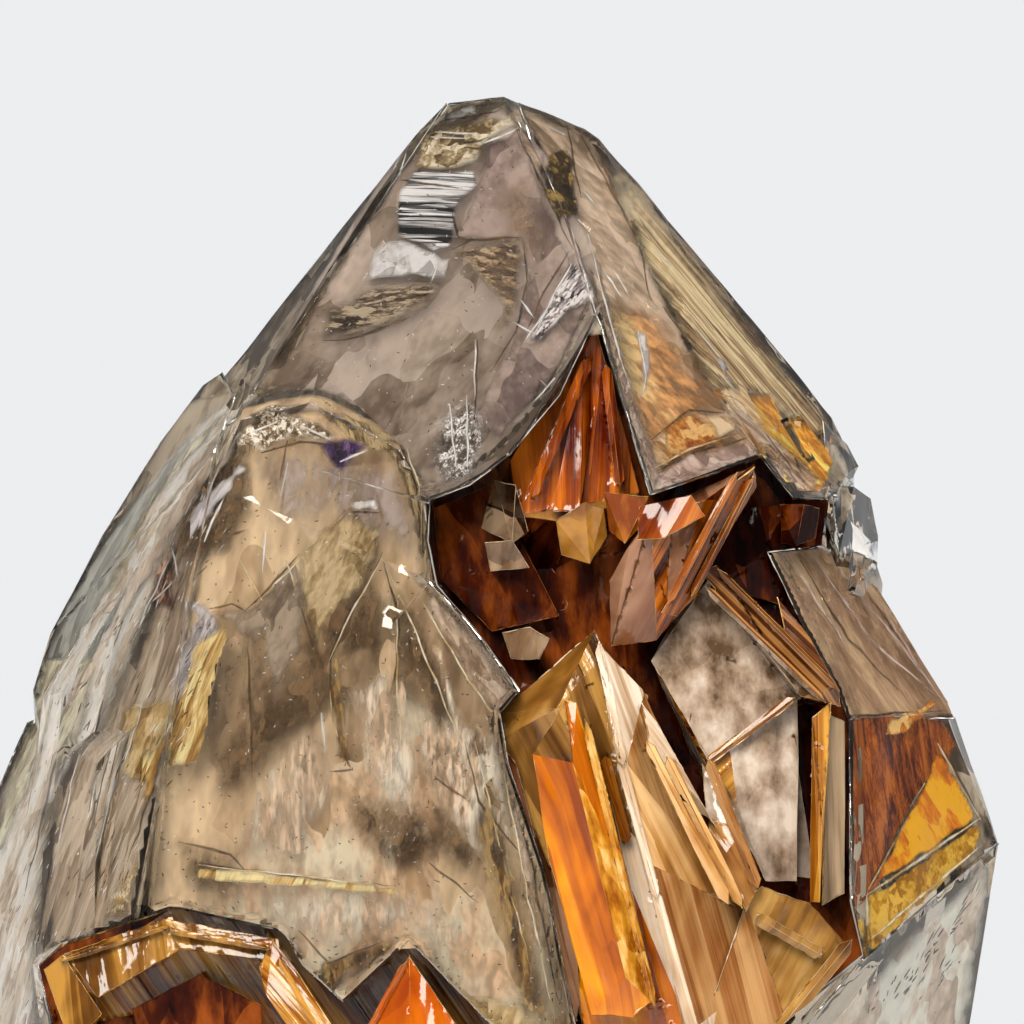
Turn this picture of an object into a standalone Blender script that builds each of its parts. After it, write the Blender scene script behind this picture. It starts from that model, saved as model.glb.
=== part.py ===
"""Citrine crystal point: a clear, smoky quartz point with golden crystals in its hollows.

Sizes are in millimetres and are turned into metres when a mesh is made. +Z is up, along the
crystal's long axis, and the front, where the hollows open, faces -Y. The origin is in the
middle of the flat sawn foot that the point stands on.
"""

import math

import bmesh
import bpy
from mathutils import Matrix, Vector

MM = 0.001

# Driving dimensions
HEIGHT = 66.6
GAP = 0.3
FOOT_DEPTH = 0.0
HOLLOW_FRONT = -40.0
CRUST_THICKNESS = 1.9

# Growth faces: depth y = start + across * x + up * z, read on the front of the point
LEFT_FACE = (-44.5, -0.364, 0.66)
RIGHT_FACE = (-69.07, 0.70, 1.03)
FRONT_WALL = (-19.83, -0.311, 0.154)
RIGHT_FLANK = (-47.0, 1.1235, 0.5356)
GOLD_PANEL = (-43.57, 1.30, 0.333)
RIGHT_FOOT = (-31.06, 1.613, -0.364)
MAIN_BACK = (-10.1, 0.0, 0.12)
LOWER_BACK = (-7.2, -0.06, 0.0)

# Outline of the main hollow, clockwise from its top, as (x, z)
MAIN_HOLLOW = (
    (4.25, 55.4), (6.9, 46.45), (12.4, 48.3), (14.1, 46.3), (15.8, 46.2), (15.5, 43.9),
    (12.8, 43.6), (14.4, 40.2), (16.3, 36.7), (16.8, 35.2), (16.9, 26.2), (17.5, 23.5),
    (13.2, 20.0), (11.4, 16.2), (9.4, 12.7), (4.4, 13.7), (3.15, 20.0), (1.65, 27.7),
    (-0.2, 33.2), (-0.6, 35.6), (0.4, 36.7), (-1.6, 39.45), (-3.75, 41.95), (-4.2, 44.2),
    (-4.1, 46.2), (-2.1, 46.95), (-0.1, 48.45), (2.4, 51.45),
)

# Outline of the lower hollow, clockwise from its upper left
LOWER_HOLLOW = (
    (-22.5, 23.95), (-16.9, 25.85), (-11.4, 24.7), (-10.4, 23.0), (-8.4, 21.2), (-5.1, 24.3),
    (-0.5, 19.6), (-1.8, 15.5), (-18.1, 14.7), (-22.6, 18.6), (-23.7, 22.9),
)

CLEAR = ((0.62, 0.57, 0.50, 1.0), 0.05)
GOLD = ((0.85, 0.42, 0.07, 1.0), 0.18)
AMBER = ((0.78, 0.33, 0.05, 1.0), 0.22)


def clear_scene():
    """Removes every object that the file opened with."""
    for thing in list(bpy.data.objects):
        bpy.data.objects.remove(thing, do_unlink=True)


def finish(name, colour, roughness):
    """Makes the plain material of one node."""
    material = bpy.data.materials.new(name)
    material.use_nodes = True
    shader = material.node_tree.nodes["Principled BSDF"]
    shader.inputs["Base Color"].default_value = colour
    shader.inputs["Roughness"].default_value = roughness
    shader.inputs["Metallic"].default_value = 0.0
    return material


def depth(face, x, z):
    """Gives the depth of a growth face at a spot of the front."""
    start, across, up = face
    return start + across * x + up * z


def on(face, *spots, lift=0.0):
    """Sets front spots (x, z) on a growth face, lift millimetres behind it."""
    return [(x, depth(face, x, z) + lift, z) for x, z in spots]


def add_mesh(name, mesh_maker):
    """Makes an object in metres from a bmesh in millimetres."""
    mesh_maker.transform(Matrix.Scale(MM, 4))
    mesh = bpy.data.meshes.new(name)
    mesh_maker.to_mesh(mesh)
    mesh_maker.free()
    thing = bpy.data.objects.new(name, mesh)
    bpy.context.scene.collection.objects.link(thing)
    return thing


def crystal(name, corners):
    """Makes one convex crystal from its corners."""
    shape = bmesh.new()
    points = [shape.verts.new(corner) for corner in corners]
    result = bmesh.ops.convex_hull(shape, input=points)
    loose = [item for item in result["geom_interior"] if isinstance(item, bmesh.types.BMVert)]
    bmesh.ops.delete(shape, geom=list(set(loose)), context="VERTS")
    bmesh.ops.recalc_face_normals(shape, faces=shape.faces)
    return add_mesh(name, shape)


def slat(name, start, end, width, thick):
    """Makes a narrow straight crystal with a ridge along its front, from one end to the other.

    The ends are (x, y, z) places on the ridge, and the crystal tapers towards both of them.
    """
    low, high = Vector(start), Vector(end)
    along = (high - low).normalized()
    aside = along.cross(Vector((0.0, 1.0, 0.0))).normalized() * 0.5 * width
    corners = [low, high]
    for share in (0.06, 0.94):
        middle = low.lerp(high, share)
        rear = middle + Vector((0.0, thick, 0.0))
        corners += [middle, middle + aside + Vector((0.0, 0.25 * width, 0.0))]
        corners += [middle - aside + Vector((0.0, 0.25 * width, 0.0)), rear + aside, rear - aside]
    return crystal(name, [tuple(corner) for corner in corners])


def quartz_point(name, centre, radius, foot, shoulder, tip, turn=0.0, flatten=1.0):
    """Makes an upright six-sided crystal with a blunt chisel end."""
    cx, cy = centre
    corners = []
    for step in range(6):
        angle = math.radians(60 * step + turn)
        x = cx + radius * math.cos(angle)
        y = cy + radius * flatten * math.sin(angle)
        drop = 0.12 * radius * (step % 2)
        corners += [(x, y, foot), (x, y, shoulder - drop)]
    half_edge = 0.14 * radius
    corners += [(cx - half_edge, cy, tip), (cx + half_edge, cy, tip)]
    return crystal(name, corners)


def outline_prism(name, outline, back, front, inset=0.0):
    """Makes a block with an outline seen from the front, from a front to a back growth face."""
    shape = bmesh.new()
    face = shape.faces.new([shape.verts.new((x, 0.0, z)) for x, z in outline])
    if inset:
        ring = bmesh.ops.inset_region(shape, faces=[face], thickness=inset, use_even_offset=True)
        bmesh.ops.delete(shape, geom=ring["faces"], context="FACES")
        loose = [v for v in shape.verts if not v.link_faces]
        bmesh.ops.delete(shape, geom=loose, context="VERTS")
    face = shape.faces[:][0]
    near = list(face.verts)
    walls = bmesh.ops.extrude_face_region(shape, geom=[face])
    far = [item for item in walls["geom"] if isinstance(item, bmesh.types.BMVert)]
    for vert in near:
        vert.co.y = depth(front, vert.co.x, vert.co.z)
    for vert in far:
        vert.co.y = depth(back, vert.co.x, vert.co.z)
    bmesh.ops.triangulate(shape, faces=shape.faces)
    bmesh.ops.recalc_face_normals(shape, faces=shape.faces)
    return add_mesh(name, shape)


def combine(base, tool, operation):
    """Unites, cuts or intersects a solid with a tool, which is then removed."""
    modifier = base.modifiers.new(operation.title(), "BOOLEAN")
    modifier.operation = operation
    modifier.solver = "EXACT"
    modifier.object = tool
    graph = bpy.context.evaluated_depsgraph_get()
    mesh = bpy.data.meshes.new_from_object(base.evaluated_get(graph))
    base.modifiers.clear()
    base.data = mesh
    bpy.data.objects.remove(tool, do_unlink=True)


def unite(name, crystals):
    """Grows crystals together into one solid."""
    base = crystals[0]
    base.name = name
    for other in crystals[1:]:
        combine(base, other, "UNION")
    return base


def left_spire():
    """Upper left termination face and the body behind it."""
    face = on(
        LEFT_FACE, (-0.4, 66.6), (-3.2, 66.3), (-4.9, 64.6), (-9.1, 58.0), (-13.8, 50.3),
        (-12.8, 48.6), (-4.1, 46.0), (-0.1, 48.2), (4.3, 55.2), (2.9, 60.0), (1.2, 63.8),
    )
    behind = [(0.5, 1.5, 66.2), (-3.2, 1.0, 66.1), (-9.0, 4.0, 56.0), (-14.5, 2.5, 49.0), (3.0, 4.0, 48.0)]
    return crystal("left_spire", face + behind)


def right_spire():
    """Upper right plate, which ends in a sharp corner over the hollow."""
    face = on(
        RIGHT_FACE, (0.3, 66.3), (2.2, 65.2), (3.7, 65.0), (4.4, 64.5), (12.4, 48.4), (6.9, 46.4),
        (3.7, 59.8),
    )
    behind = [(0.5, 1.5, 66.0), (4.2, 1.5, 64.2), (12.0, 1.0, 50.0), (9.0, -6.0, 46.6), (3.0, 3.0, 50.0)]
    return crystal("right_spire", face + behind)


def right_shoulder():
    """Steep side face between the plate and the right outline."""
    face = on(RIGHT_FACE, (4.4, 64.5), (12.4, 48.4))
    rim = [(6.4, 0.8, 62.2), (9.4, 0.8, 58.1), (12.5, 0.8, 54.9), (16.2, 0.6, 50.4), (17.3, 0.4, 48.0)]
    low = [(13.4, -9.2, 46.2), (16.6, -5.6, 46.0), (17.4, 1.0, 44.0), (13.0, -6.0, 43.8)]
    behind = [(5.0, 4.0, 62.0), (15.0, 5.0, 48.0), (8.0, 5.0, 46.0)]
    return crystal("right_shoulder", face + rim + low + behind)


def shoulder_fingers():
    """Two narrow crystals that lie along the right shoulder."""
    near = crystal("near_finger", [
        (10.4, -9.6, 51.3), (11.4, -9.2, 50.6), (15.9, -8.8, 46.9), (15.7, -8.6, 46.2), (14.2, -9.8, 46.2),
        (12.4, -11.1, 48.5), (13.5, -5.0, 49.5), (16.4, -5.0, 46.6), (14.0, -5.0, 46.5),
    ])
    far = crystal("far_finger", [
        (13.4, -6.6, 50.2), (14.4, -5.8, 50.6), (16.8, -5.0, 47.4), (16.3, -6.4, 46.4), (15.6, -7.2, 46.6),
        (14.0, -2.5, 50.0), (17.2, -2.5, 47.0),
    ])
    return [near, far]


def rim_knobs():
    """Small rough crystals along the right rim."""
    upper = crystal("upper_knob", [
        (15.6, -4.8, 50.2), (16.9, -1.8, 49.0), (17.5, -1.6, 47.9), (17.2, -2.2, 47.3), (15.9, -6.0, 47.0),
        (15.2, 1.5, 49.6), (17.0, 2.0, 47.4), (15.0, -2.0, 45.4),
    ])
    middle = crystal("middle_knob", [
        (16.0, -6.6, 47.0), (17.2, -4.4, 46.9), (18.1, -2.2, 46.3), (18.5, -1.6, 44.4), (18.4, -1.8, 42.0),
        (16.4, -7.4, 43.4), (15.6, -6.8, 45.2), (17.2, 2.5, 46.0), (17.6, 2.5, 42.0), (16.0, -3.0, 42.0),
    ])
    lower = crystal("lower_knob", [
        (17.0, -6.2, 43.6), (18.3, -4.0, 43.2), (18.7, -2.4, 42.0), (18.6, -2.6, 41.0), (16.8, -7.2, 41.6),
        (17.0, 0.0, 43.0), (17.6, 0.0, 40.6),
    ])
    return [upper, middle, lower]


def right_flank():
    """Long glassy face that runs down to the right corner."""
    face = on(
        RIGHT_FLANK, (12.7, 43.8), (15.4, 44.1), (18.4, 41.8), (21.9, 36.2), (22.3, 35.2), (16.8, 35.3),
        (16.3, 38.0), (14.4, 40.2),
    )
    behind = [(18.6, 3.0, 41.0), (22.3, 2.0, 35.4), (16.0, 6.0, 44.0), (12.0, 2.0, 44.0), (15.0, 2.0, 33.0)]
    return crystal("right_flank", face + behind)


def right_panel():
    """Broad face under the flank that ends in the widest corner of the point."""
    face = on(GOLD_PANEL, (16.8, 35.3), (21.8, 35.6), (24.5, 28.95), (17.5, 23.3), (15.6, 24.5))
    rim = [(22.4, -1.6, 35.3), (22.6, -1.0, 33.9), (23.7, -0.9, 31.4), (24.55, -1.0, 28.95)]
    behind = [(22.0, 5.0, 34.0), (24.0, 5.0, 28.0), (16.0, 6.0, 36.0), (12.0, 2.0, 24.0)]
    return crystal("right_panel", face + rim + behind)


def right_foot():
    """Clear prism face that leans in towards the foot."""
    face = on(
        RIGHT_FOOT, (24.55, 28.95), (17.2, 23.1), (13.6, 19.0), (23.15, 20.0), (20.0, FOOT_DEPTH),
        (10.5, FOOT_DEPTH),
    )
    behind = [(23.6, 6.0, 26.0), (19.5, 8.0, FOOT_DEPTH), (8.0, 6.0, 26.0), (6.0, 8.0, FOOT_DEPTH)]
    return crystal("right_foot", face + behind)


def front_wall():
    """Two parallel crystals that make the broad, cloudy lower left wall and its top ledge."""
    upper = on(
        FRONT_WALL, (-13.6, 50.2), (-10.1, 51.1), (-7.6, 49.9), (-5.6, 48.7), (-4.3, 46.4), (-3.9, 42.0),
        (-3.2, 20.0), (-3.4, 12.0), (-18.6, 12.0), (-18.6, 20.0), (-16.4, 40.0), (-15.0, 47.0),
    )
    upper += on(FRONT_WALL, (-4.0, FOOT_DEPTH), (-17.4, FOOT_DEPTH), lift=2.6)
    upper_back = [
        (-13.4, -3.0, 52.6), (-9.6, -5.6, 53.0), (-6.0, -6.5, 51.4), (-17.0, 4.0, 46.0), (-4.0, 2.0, 46.0),
        (-17.0, 4.0, FOOT_DEPTH), (-3.0, 4.0, FOOT_DEPTH),
    ]
    lower = on(
        FRONT_WALL, (-4.1, 42.2), (-1.6, 39.5), (0.4, 36.7), (2.4, 27.0), (3.4, 20.0), (5.0, 12.0),
        (-6.0, 12.0), (-6.0, 40.0), lift=-0.5,
    )
    lower += on(FRONT_WALL, (3.6, FOOT_DEPTH), (-6.0, FOOT_DEPTH), lift=3.2)
    lower_back = [(-5.0, -4.0, 43.4), (1.0, -4.0, 37.8), (5.5, 4.0, FOOT_DEPTH), (-6.0, 4.0, FOOT_DEPTH)]
    return [crystal("upper_wall", upper + upper_back), crystal("lower_wall", lower + lower_back)]


def left_rim():
    """Long narrow side faces that step down the left outline."""
    high_face = on(LEFT_FACE, (-4.9, 64.6), (-9.1, 58.0), (-13.8, 50.3), lift=-0.15)
    high = high_face + [
        (-3.3, 0.4, 66.3), (-4.7, 0.6, 64.9), (-7.2, 0.8, 60.9), (-8.9, 0.8, 58.9), (-12.5, 0.8, 54.0),
        (-15.2, 0.4, 51.6), (-14.9, -4.6, 49.6), (-9.0, 5.0, 54.0), (-3.0, 4.0, 62.0), (-14.0, 5.0, 48.0),
    ]
    middle = on(FRONT_WALL, (-14.9, 48.6), (-16.8, 40.0), (-19.4, 28.0), (-20.4, 16.0), lift=0.9) + [
        (-13.9, -4.4, 51.4), (-14.6, -1.6, 52.7), (-15.6, -0.2, 52.0), (-17.8, -0.2, 49.2),
        (-20.7, -0.2, 44.4), (-23.3, -0.2, 39.5), (-24.2, -0.2, 36.6), (-23.0, -0.2, 18.0),
        (-14.0, 6.0, 50.0), (-22.0, 6.0, 36.0), (-18.0, 6.0, 16.0),
    ]
    low = [
        (-24.5, 0.6, 35.0), (-26.0, 0.8, 31.6), (-28.0, 1.0, 26.4), (-28.0, 1.0, 19.0),
        (-26.2, 0.6, FOOT_DEPTH), (-20.8, -8.0, 33.0), (-23.6, -7.2, 24.0), (-23.0, -8.4, 19.0),
        (-21.0, -8.8, FOOT_DEPTH), (-16.0, -4.0, 38.0), (-22.0, 9.0, 32.0), (-24.0, 9.0, 24.0),
        (-22.0, 10.0, FOOT_DEPTH), (-10.0, 0.0, FOOT_DEPTH),
    ]
    rail = [
        (-11.0, -1.9, 55.6), (-11.8, -0.7, 55.3), (-23.6, -3.2, 36.4), (-22.6, -4.8, 36.6),
        (-24.6, -3.0, 29.0), (-23.2, -5.2, 29.0), (-10.0, 2.0, 52.0), (-20.0, 2.0, 30.0),
    ]
    return [
        crystal("high_rim", high), crystal("middle_rim", middle), crystal("low_rim", low),
        crystal("rail_rim", rail),
    ]


def heart():
    """Hidden middle of the point, down to the flat foot."""
    ring = [
        (-24.0, -6.0, FOOT_DEPTH), (-14.0, -14.0, FOOT_DEPTH), (3.0, -18.0, FOOT_DEPTH),
        (12.0, -13.0, FOOT_DEPTH), (19.5, 1.0, FOOT_DEPTH), (14.0, 14.0, FOOT_DEPTH),
        (-2.0, 18.0, FOOT_DEPTH), (-18.0, 14.0, FOOT_DEPTH),
    ]
    waist = [
        (-26.0, 1.0, 26.0), (-18.0, -11.0, 18.0), (3.0, -18.2, 17.0), (13.0, -13.0, 18.0), (23.6, 1.0, 27.0),
        (19.0, 13.0, 27.0), (3.0, 19.0, 29.0), (-18.0, 16.0, 29.0),
    ]
    chest = [(-17.0, 1.0, 47.0), (-11.0, 12.0, 46.0), (4.0, 13.0, 47.0), (14.0, 8.0, 46.0),
             (15.5, -3.0, 45.0)]
    top = [(-3.0, 1.2, 65.8), (0.5, 1.8, HEIGHT - 0.4), (3.8, 2.0, 64.4)]
    front = [(4.0, -8.0, 50.0), (8.0, -9.0, 40.0), (-4.0, -9.0, 44.0), (12.0, -9.0, 44.0)]
    return crystal("heart", ring + waist + chest + top + front)


def back_crystals():
    """Parallel crystals that stand against the back of the point."""
    return [
        quartz_point("back_tall", (-4.0, 9.5), 9.0, 22.0, 44.0, 55.0, turn=8.0, flatten=0.9),
        quartz_point("back_right", (9.0, 10.0), 8.5, 18.0, 34.0, 45.5, turn=8.0, flatten=0.85),
        quartz_point("back_left", (-14.5, 9.5), 8.0, 10.0, 31.0, 41.5, turn=8.0, flatten=0.9),
        quartz_point("back_low", (2.0, 15.5), 7.0, FOOT_DEPTH, 21.0, 31.0, turn=8.0, flatten=0.8),
        quartz_point("back_corner", (15.5, 8.0), 5.5, FOOT_DEPTH, 17.5, 25.0, turn=8.0),
        quartz_point("side_left", (-22.0, 4.0), 5.0, FOOT_DEPTH, 20.0, 29.0, turn=8.0),
    ]


def hollow(name, outline, back):
    """Makes the cutter that opens one hollow to the front."""
    return outline_prism(name, outline, back, (HOLLOW_FRONT, 0.0, 0.0))


def make_point():
    """Makes the clear point, cut off flat at its foot and opened by its two hollows."""
    grown = [heart(), left_spire(), right_spire(), right_shoulder(), right_flank(), right_panel(),
             right_foot()]
    grown += front_wall() + left_rim() + shoulder_fingers() + rim_knobs() + back_crystals()
    point = unite("crystal_point", grown)
    combine(point, hollow("main_hollow", MAIN_HOLLOW, MAIN_BACK), "DIFFERENCE")
    combine(point, hollow("lower_hollow", LOWER_HOLLOW, LOWER_BACK), "DIFFERENCE")
    point.data.materials.clear()
    point.data.materials.append(finish("clear_quartz", *CLEAR))
    return point


def crust_floor(name, outline, back):
    """Makes the layer of small crystals that backs a hollow."""
    start, across, up = back
    rear = (start - GAP, across, up)
    front = (start - GAP - CRUST_THICKNESS, across, up)
    return outline_prism(name, outline, rear, front, inset=GAP)


def main_blades():
    """The golden crystals of the main hollow, each from its own corners."""
    blades = {
        "fan": [
            (4.2, -8.2, 55.0), (5.0, -7.6, 52.0), (6.4, -8.6, 46.6), (3.0, -9.2, 45.0), (0.2, -9.6, 45.4),
            (-0.1, -8.6, 48.2), (2.2, -8.2, 51.2), (4.2, -4.0, 54.0), (7.0, -4.5, 45.0), (-1.0, -4.6, 46.0),
            (1.6, -5.6, 41.0),
        ],
        "fan_rib": [
            (3.6, -8.8, 53.6), (2.0, -9.8, 45.6), (3.4, -10.0, 45.6), (4.4, -8.0, 52.6), (2.4, -4.5, 48.0),
            (4.0, -4.5, 48.0),
        ],
        "dark_shelf": [
            (-4.0, -7.6, 45.8), (-1.0, -8.2, 47.0), (-1.2, -8.6, 42.0), (-3.6, -8.4, 42.2),
            (-1.0, -8.8, 39.6), (2.4, -9.4, 40.4), (-3.0, -5.0, 44.0), (1.0, -5.8, 40.0),
        ],
        "shelf_window": [
            (-0.9, -9.6, 47.2), (0.2, -10.0, 47.0), (0.9, -9.8, 44.6), (0.0, -10.2, 44.0),
            (-1.6, -9.0, 44.8), (-0.6, -6.0, 46.0), (0.6, -6.0, 44.4),
        ],
        "green_tooth": [
            (2.1, -10.4, 45.2), (3.6, -11.2, 46.1), (4.6, -11.0, 45.8), (4.8, -10.6, 44.4),
            (3.9, -11.0, 43.0), (2.4, -10.0, 43.4), (3.0, -6.0, 45.0), (4.6, -6.0, 43.6),
        ],
        "yellow_tooth": [
            (4.6, -11.4, 46.6), (6.8, -12.4, 46.4), (6.6, -12.0, 45.0), (5.6, -12.0, 44.0),
            (4.8, -10.8, 44.6), (5.0, -7.0, 45.6), (6.6, -7.0, 44.6),
        ],
        "small_point": [
            (6.9, -14.2, 45.6), (9.6, -13.4, 46.2), (12.1, -10.8, 48.0), (11.7, -11.2, 46.2),
            (9.2, -12.6, 41.4), (7.2, -13.4, 39.2), (4.9, -12.6, 38.9), (4.8, -12.0, 42.2),
            (5.8, -13.4, 44.0), (9.0, -7.0, 45.0), (6.0, -7.0, 40.0), (11.0, -8.4, 46.6),
        ],
        "edge_bar": [
            (12.1, -12.6, 47.9), (11.2, -13.2, 47.2), (7.4, -14.4, 40.6), (8.2, -13.8, 40.4),
            (9.4, -13.0, 42.0), (12.2, -11.6, 46.9), (11.4, -9.6, 46.6), (8.2, -10.4, 41.0),
        ],
        "red_floor": [
            (9.6, -8.2, 45.6), (13.6, -7.6, 46.0), (12.6, -8.4, 43.4), (13.8, -8.0, 40.8),
            (10.0, -9.2, 42.0), (11.0, -5.2, 44.0), (13.6, -5.4, 41.6),
        ],
        "brown_prism": [
            (13.3, -9.0, 46.0), (14.6, -9.4, 46.0), (15.4, -8.6, 45.8), (15.2, -8.6, 44.3),
            (14.2, -9.2, 43.9), (13.4, -8.2, 44.0), (13.6, -6.0, 45.0), (15.0, -6.0, 44.4),
        ],
        "copper_bar": [
            (9.4, -12.6, 42.6), (10.2, -12.4, 43.0), (16.3, -12.0, 36.9), (16.4, -11.6, 35.9),
            (14.4, -13.0, 36.4), (9.8, -8.0, 42.4), (15.8, -8.0, 36.4), (14.0, -8.2, 36.0),
        ],
        "orange_lens": [
            (13.2, -10.4, 41.4), (14.2, -10.6, 40.2), (15.9, -11.0, 38.0), (16.2, -11.0, 36.9),
            (15.2, -11.6, 37.6), (13.6, -11.2, 39.6), (13.4, -8.0, 40.8), (15.8, -8.0, 37.2),
        ],
        "cloudy_pane": [
            (8.2, -11.0, 40.6), (9.8, -11.4, 42.3), (14.2, -11.0, 36.6), (14.3, -11.2, 33.0),
            (14.2, -11.4, 27.2), (12.6, -11.8, 27.2), (11.2, -12.2, 31.0), (8.8, -12.2, 35.0),
            (6.9, -11.8, 38.2), (9.0, -7.0, 40.0), (13.8, -7.0, 35.0), (13.6, -7.4, 27.6),
            (10.0, -7.4, 31.0),
        ],
        "gold_post": [
            (14.9, -12.8, 35.4), (15.9, -12.6, 36.2), (15.4, -13.2, 30.0), (15.3, -13.4, 26.2),
            (14.8, -13.0, 26.2), (14.8, -12.9, 30.0), (15.4, -7.6, 35.0), (15.0, -8.0, 26.6),
        ],
        "grey_strip": [
            (15.6, -11.8, 35.6), (16.6, -11.2, 35.2), (16.6, -12.0, 26.6), (15.4, -12.6, 26.0),
            (16.4, -8.0, 34.0), (15.8, -8.0, 27.0),
        ],
        "tip_crystal": [
            (4.1, -14.0, 39.8), (-0.7, -12.8, 35.6), (-0.6, -13.2, 34.3), (1.9, -15.6, 27.8),
            (3.5, -16.2, 20.0), (5.2, -16.4, 14.4), (8.6, -16.8, 14.4), (8.8, -17.0, 20.0),
            (6.6, -16.6, 28.6), (4.6, -14.6, 38.6), (2.2, -15.9, 35.9), (4.0, -8.0, 37.0),
            (1.8, -8.6, 34.0), (5.4, -9.0, 16.0), (8.6, -9.0, 18.0),
        ],
        "orange_terrace": [
            (6.3, -14.2, 45.9), (8.9, -14.7, 46.5), (9.6, -14.4, 45.4), (7.6, -15.0, 44.3),
            (6.2, -14.5, 44.2), (7.2, -11.0, 45.4), (8.6, -11.0, 45.8),
        ],
        "rose_chip": [
            (-1.4, -10.2, 44.1), (0.0, -10.7, 44.2), (0.9, -10.5, 42.8), (-1.1, -9.9, 42.6),
            (-0.6, -6.5, 43.8), (0.2, -6.5, 42.9),
        ],
        "cream_shelf": [
            (-0.5, -10.6, 39.6), (0.9, -11.1, 39.9), (1.9, -10.8, 39.3), (1.4, -10.6, 38.2),
            (-0.1, -10.2, 38.2), (0.2, -6.8, 39.2), (1.3, -6.8, 38.8),
        ],
        "gold_prism": [
            (1.0, -15.8, 33.6), (2.6, -16.2, 36.3), (3.2, -16.4, 36.2), (4.0, -16.8, 33.0),
            (5.4, -17.4, 28.0), (6.9, -17.8, 21.4), (6.0, -17.9, 20.6), (3.9, -17.6, 20.7),
            (1.8, -16.8, 28.4), (4.4, -17.4, 28.2), (3.0, -17.2, 33.2), (5.6, -18.2, 22.6),
            (2.6, -13.0, 34.0), (5.6, -14.0, 21.4),
        ],
        "peach_blade": [
            (4.4, -15.4, 39.1), (5.7, -17.4, 33.2), (6.9, -18.2, 28.2), (8.9, -19.0, 20.0),
            (9.6, -18.6, 14.6), (11.2, -16.6, 17.6), (11.6, -16.2, 22.0), (11.4, -15.6, 25.9),
            (9.4, -15.2, 29.9), (6.6, -14.6, 36.7), (6.0, -9.0, 36.0), (11.0, -10.0, 25.0),
            (10.0, -11.0, 16.4),
        ],
        "white_sliver": [
            (6.4, -16.6, 36.2), (7.2, -16.8, 35.2), (9.4, -17.2, 31.2), (10.1, -16.8, 30.0),
            (9.2, -16.6, 30.8), (6.8, -16.8, 34.0), (7.2, -13.0, 34.0), (9.2, -13.0, 31.0),
        ],
        "thin_blade": [
            (9.4, -14.6, 33.2), (10.4, -15.2, 31.6), (11.4, -16.0, 29.8), (12.3, -16.2, 27.2),
            (11.6, -16.9, 25.8), (10.2, -16.6, 28.2), (9.6, -15.8, 30.6), (9.6, -11.0, 32.0),
            (11.8, -11.0, 27.0),
        ],
        "tan_foot": [
            (11.6, -16.2, 26.4), (12.4, -15.4, 27.1), (14.8, -14.4, 26.2), (16.8, -13.6, 24.0),
            (13.6, -16.2, 20.4), (11.2, -17.8, 17.0), (9.2, -18.0, 15.0), (9.4, -18.2, 20.0),
            (12.0, -10.0, 24.0), (10.6, -10.0, 16.0), (15.6, -10.4, 23.6),
        ],
    }
    return [crystal(name, corners) for name, corners in blades.items()]


def main_slats():
    """Long, narrow crystals that lie over the larger ones of the main hollow."""
    slats = {
        "white_ridge_top": ((4.3, -15.2, 39.2), (5.5, -17.9, 33.0), 0.50, 2.6),
        "white_ridge_middle": ((5.3, -17.6, 33.6), (7.2, -18.9, 26.4), 0.56, 2.6),
        "white_ridge_low": ((7.0, -18.7, 27.2), (9.9, -19.6, 16.4), 0.62, 2.8),
        "prism_edge": ((3.6, -17.0, 35.4), (7.1, -18.6, 21.0), 0.50, 2.4),
        "trough_bar": ((4.6, -16.4, 33.6), (5.7, -17.2, 29.2), 0.60, 2.0),
        "left_skirt": ((-0.3, -14.6, 33.8), (3.2, -16.9, 20.4), 0.70, 3.0),
        "amber_slat_near": ((6.6, -17.4, 34.4), (10.7, -18.6, 26.2), 0.62, 2.6),
        "amber_slat_middle": ((7.6, -17.2, 33.6), (11.4, -18.0, 26.0), 0.56, 2.6),
        "amber_slat_far": ((9.7, -15.9, 33.4), (12.2, -17.2, 27.0), 0.60, 3.0),
        "pane_seam": ((9.6, -12.6, 33.1), (14.1, -12.4, 36.4), 0.50, 1.6),
        "copper_slat_near": ((9.6, -13.5, 41.9), (15.6, -13.4, 36.1), 0.42, 2.0),
        "copper_slat_far": ((10.2, -13.2, 42.8), (16.3, -12.8, 36.7), 0.42, 2.0),
        "edge_slat_near": ((11.2, -13.9, 47.6), (7.7, -15.0, 41.0), 0.40, 1.6),
        "edge_slat_far": ((12.0, -12.8, 47.4), (8.9, -13.9, 41.4), 0.40, 1.6),
        "fan_slat_left": ((3.9, -9.4, 53.4), (0.9, -10.4, 46.2), 0.60, 2.6),
        "fan_slat_right": ((4.7, -9.2, 53.0), (5.4, -10.0, 46.8), 0.60, 2.6),
        "foot_bar": ((16.9, -14.4, 24.4), (10.4, -18.8, 16.6), 0.80, 3.0),
        "foot_ridge": ((12.0, -17.4, 25.6), (15.4, -15.4, 23.6), 0.70, 2.6),
    }
    return [slat(name, *sizes) for name, sizes in slats.items()]


def make_main_crust():
    """Makes the golden crust that lines the main hollow."""
    grown = [crust_floor("floor", MAIN_HOLLOW, MAIN_BACK)] + main_blades() + main_slats()
    crust = unite("golden_crust", grown)
    room = outline_prism("room", MAIN_HOLLOW, (MAIN_BACK[0] - GAP, 0.0, MAIN_BACK[2]),
                         (HOLLOW_FRONT, 0.0, 0.0),
                         inset=GAP)
    combine(crust, room, "INTERSECT")
    crust.data.materials.clear()
    crust.data.materials.append(finish("golden_quartz", *GOLD))
    return crust


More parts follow.
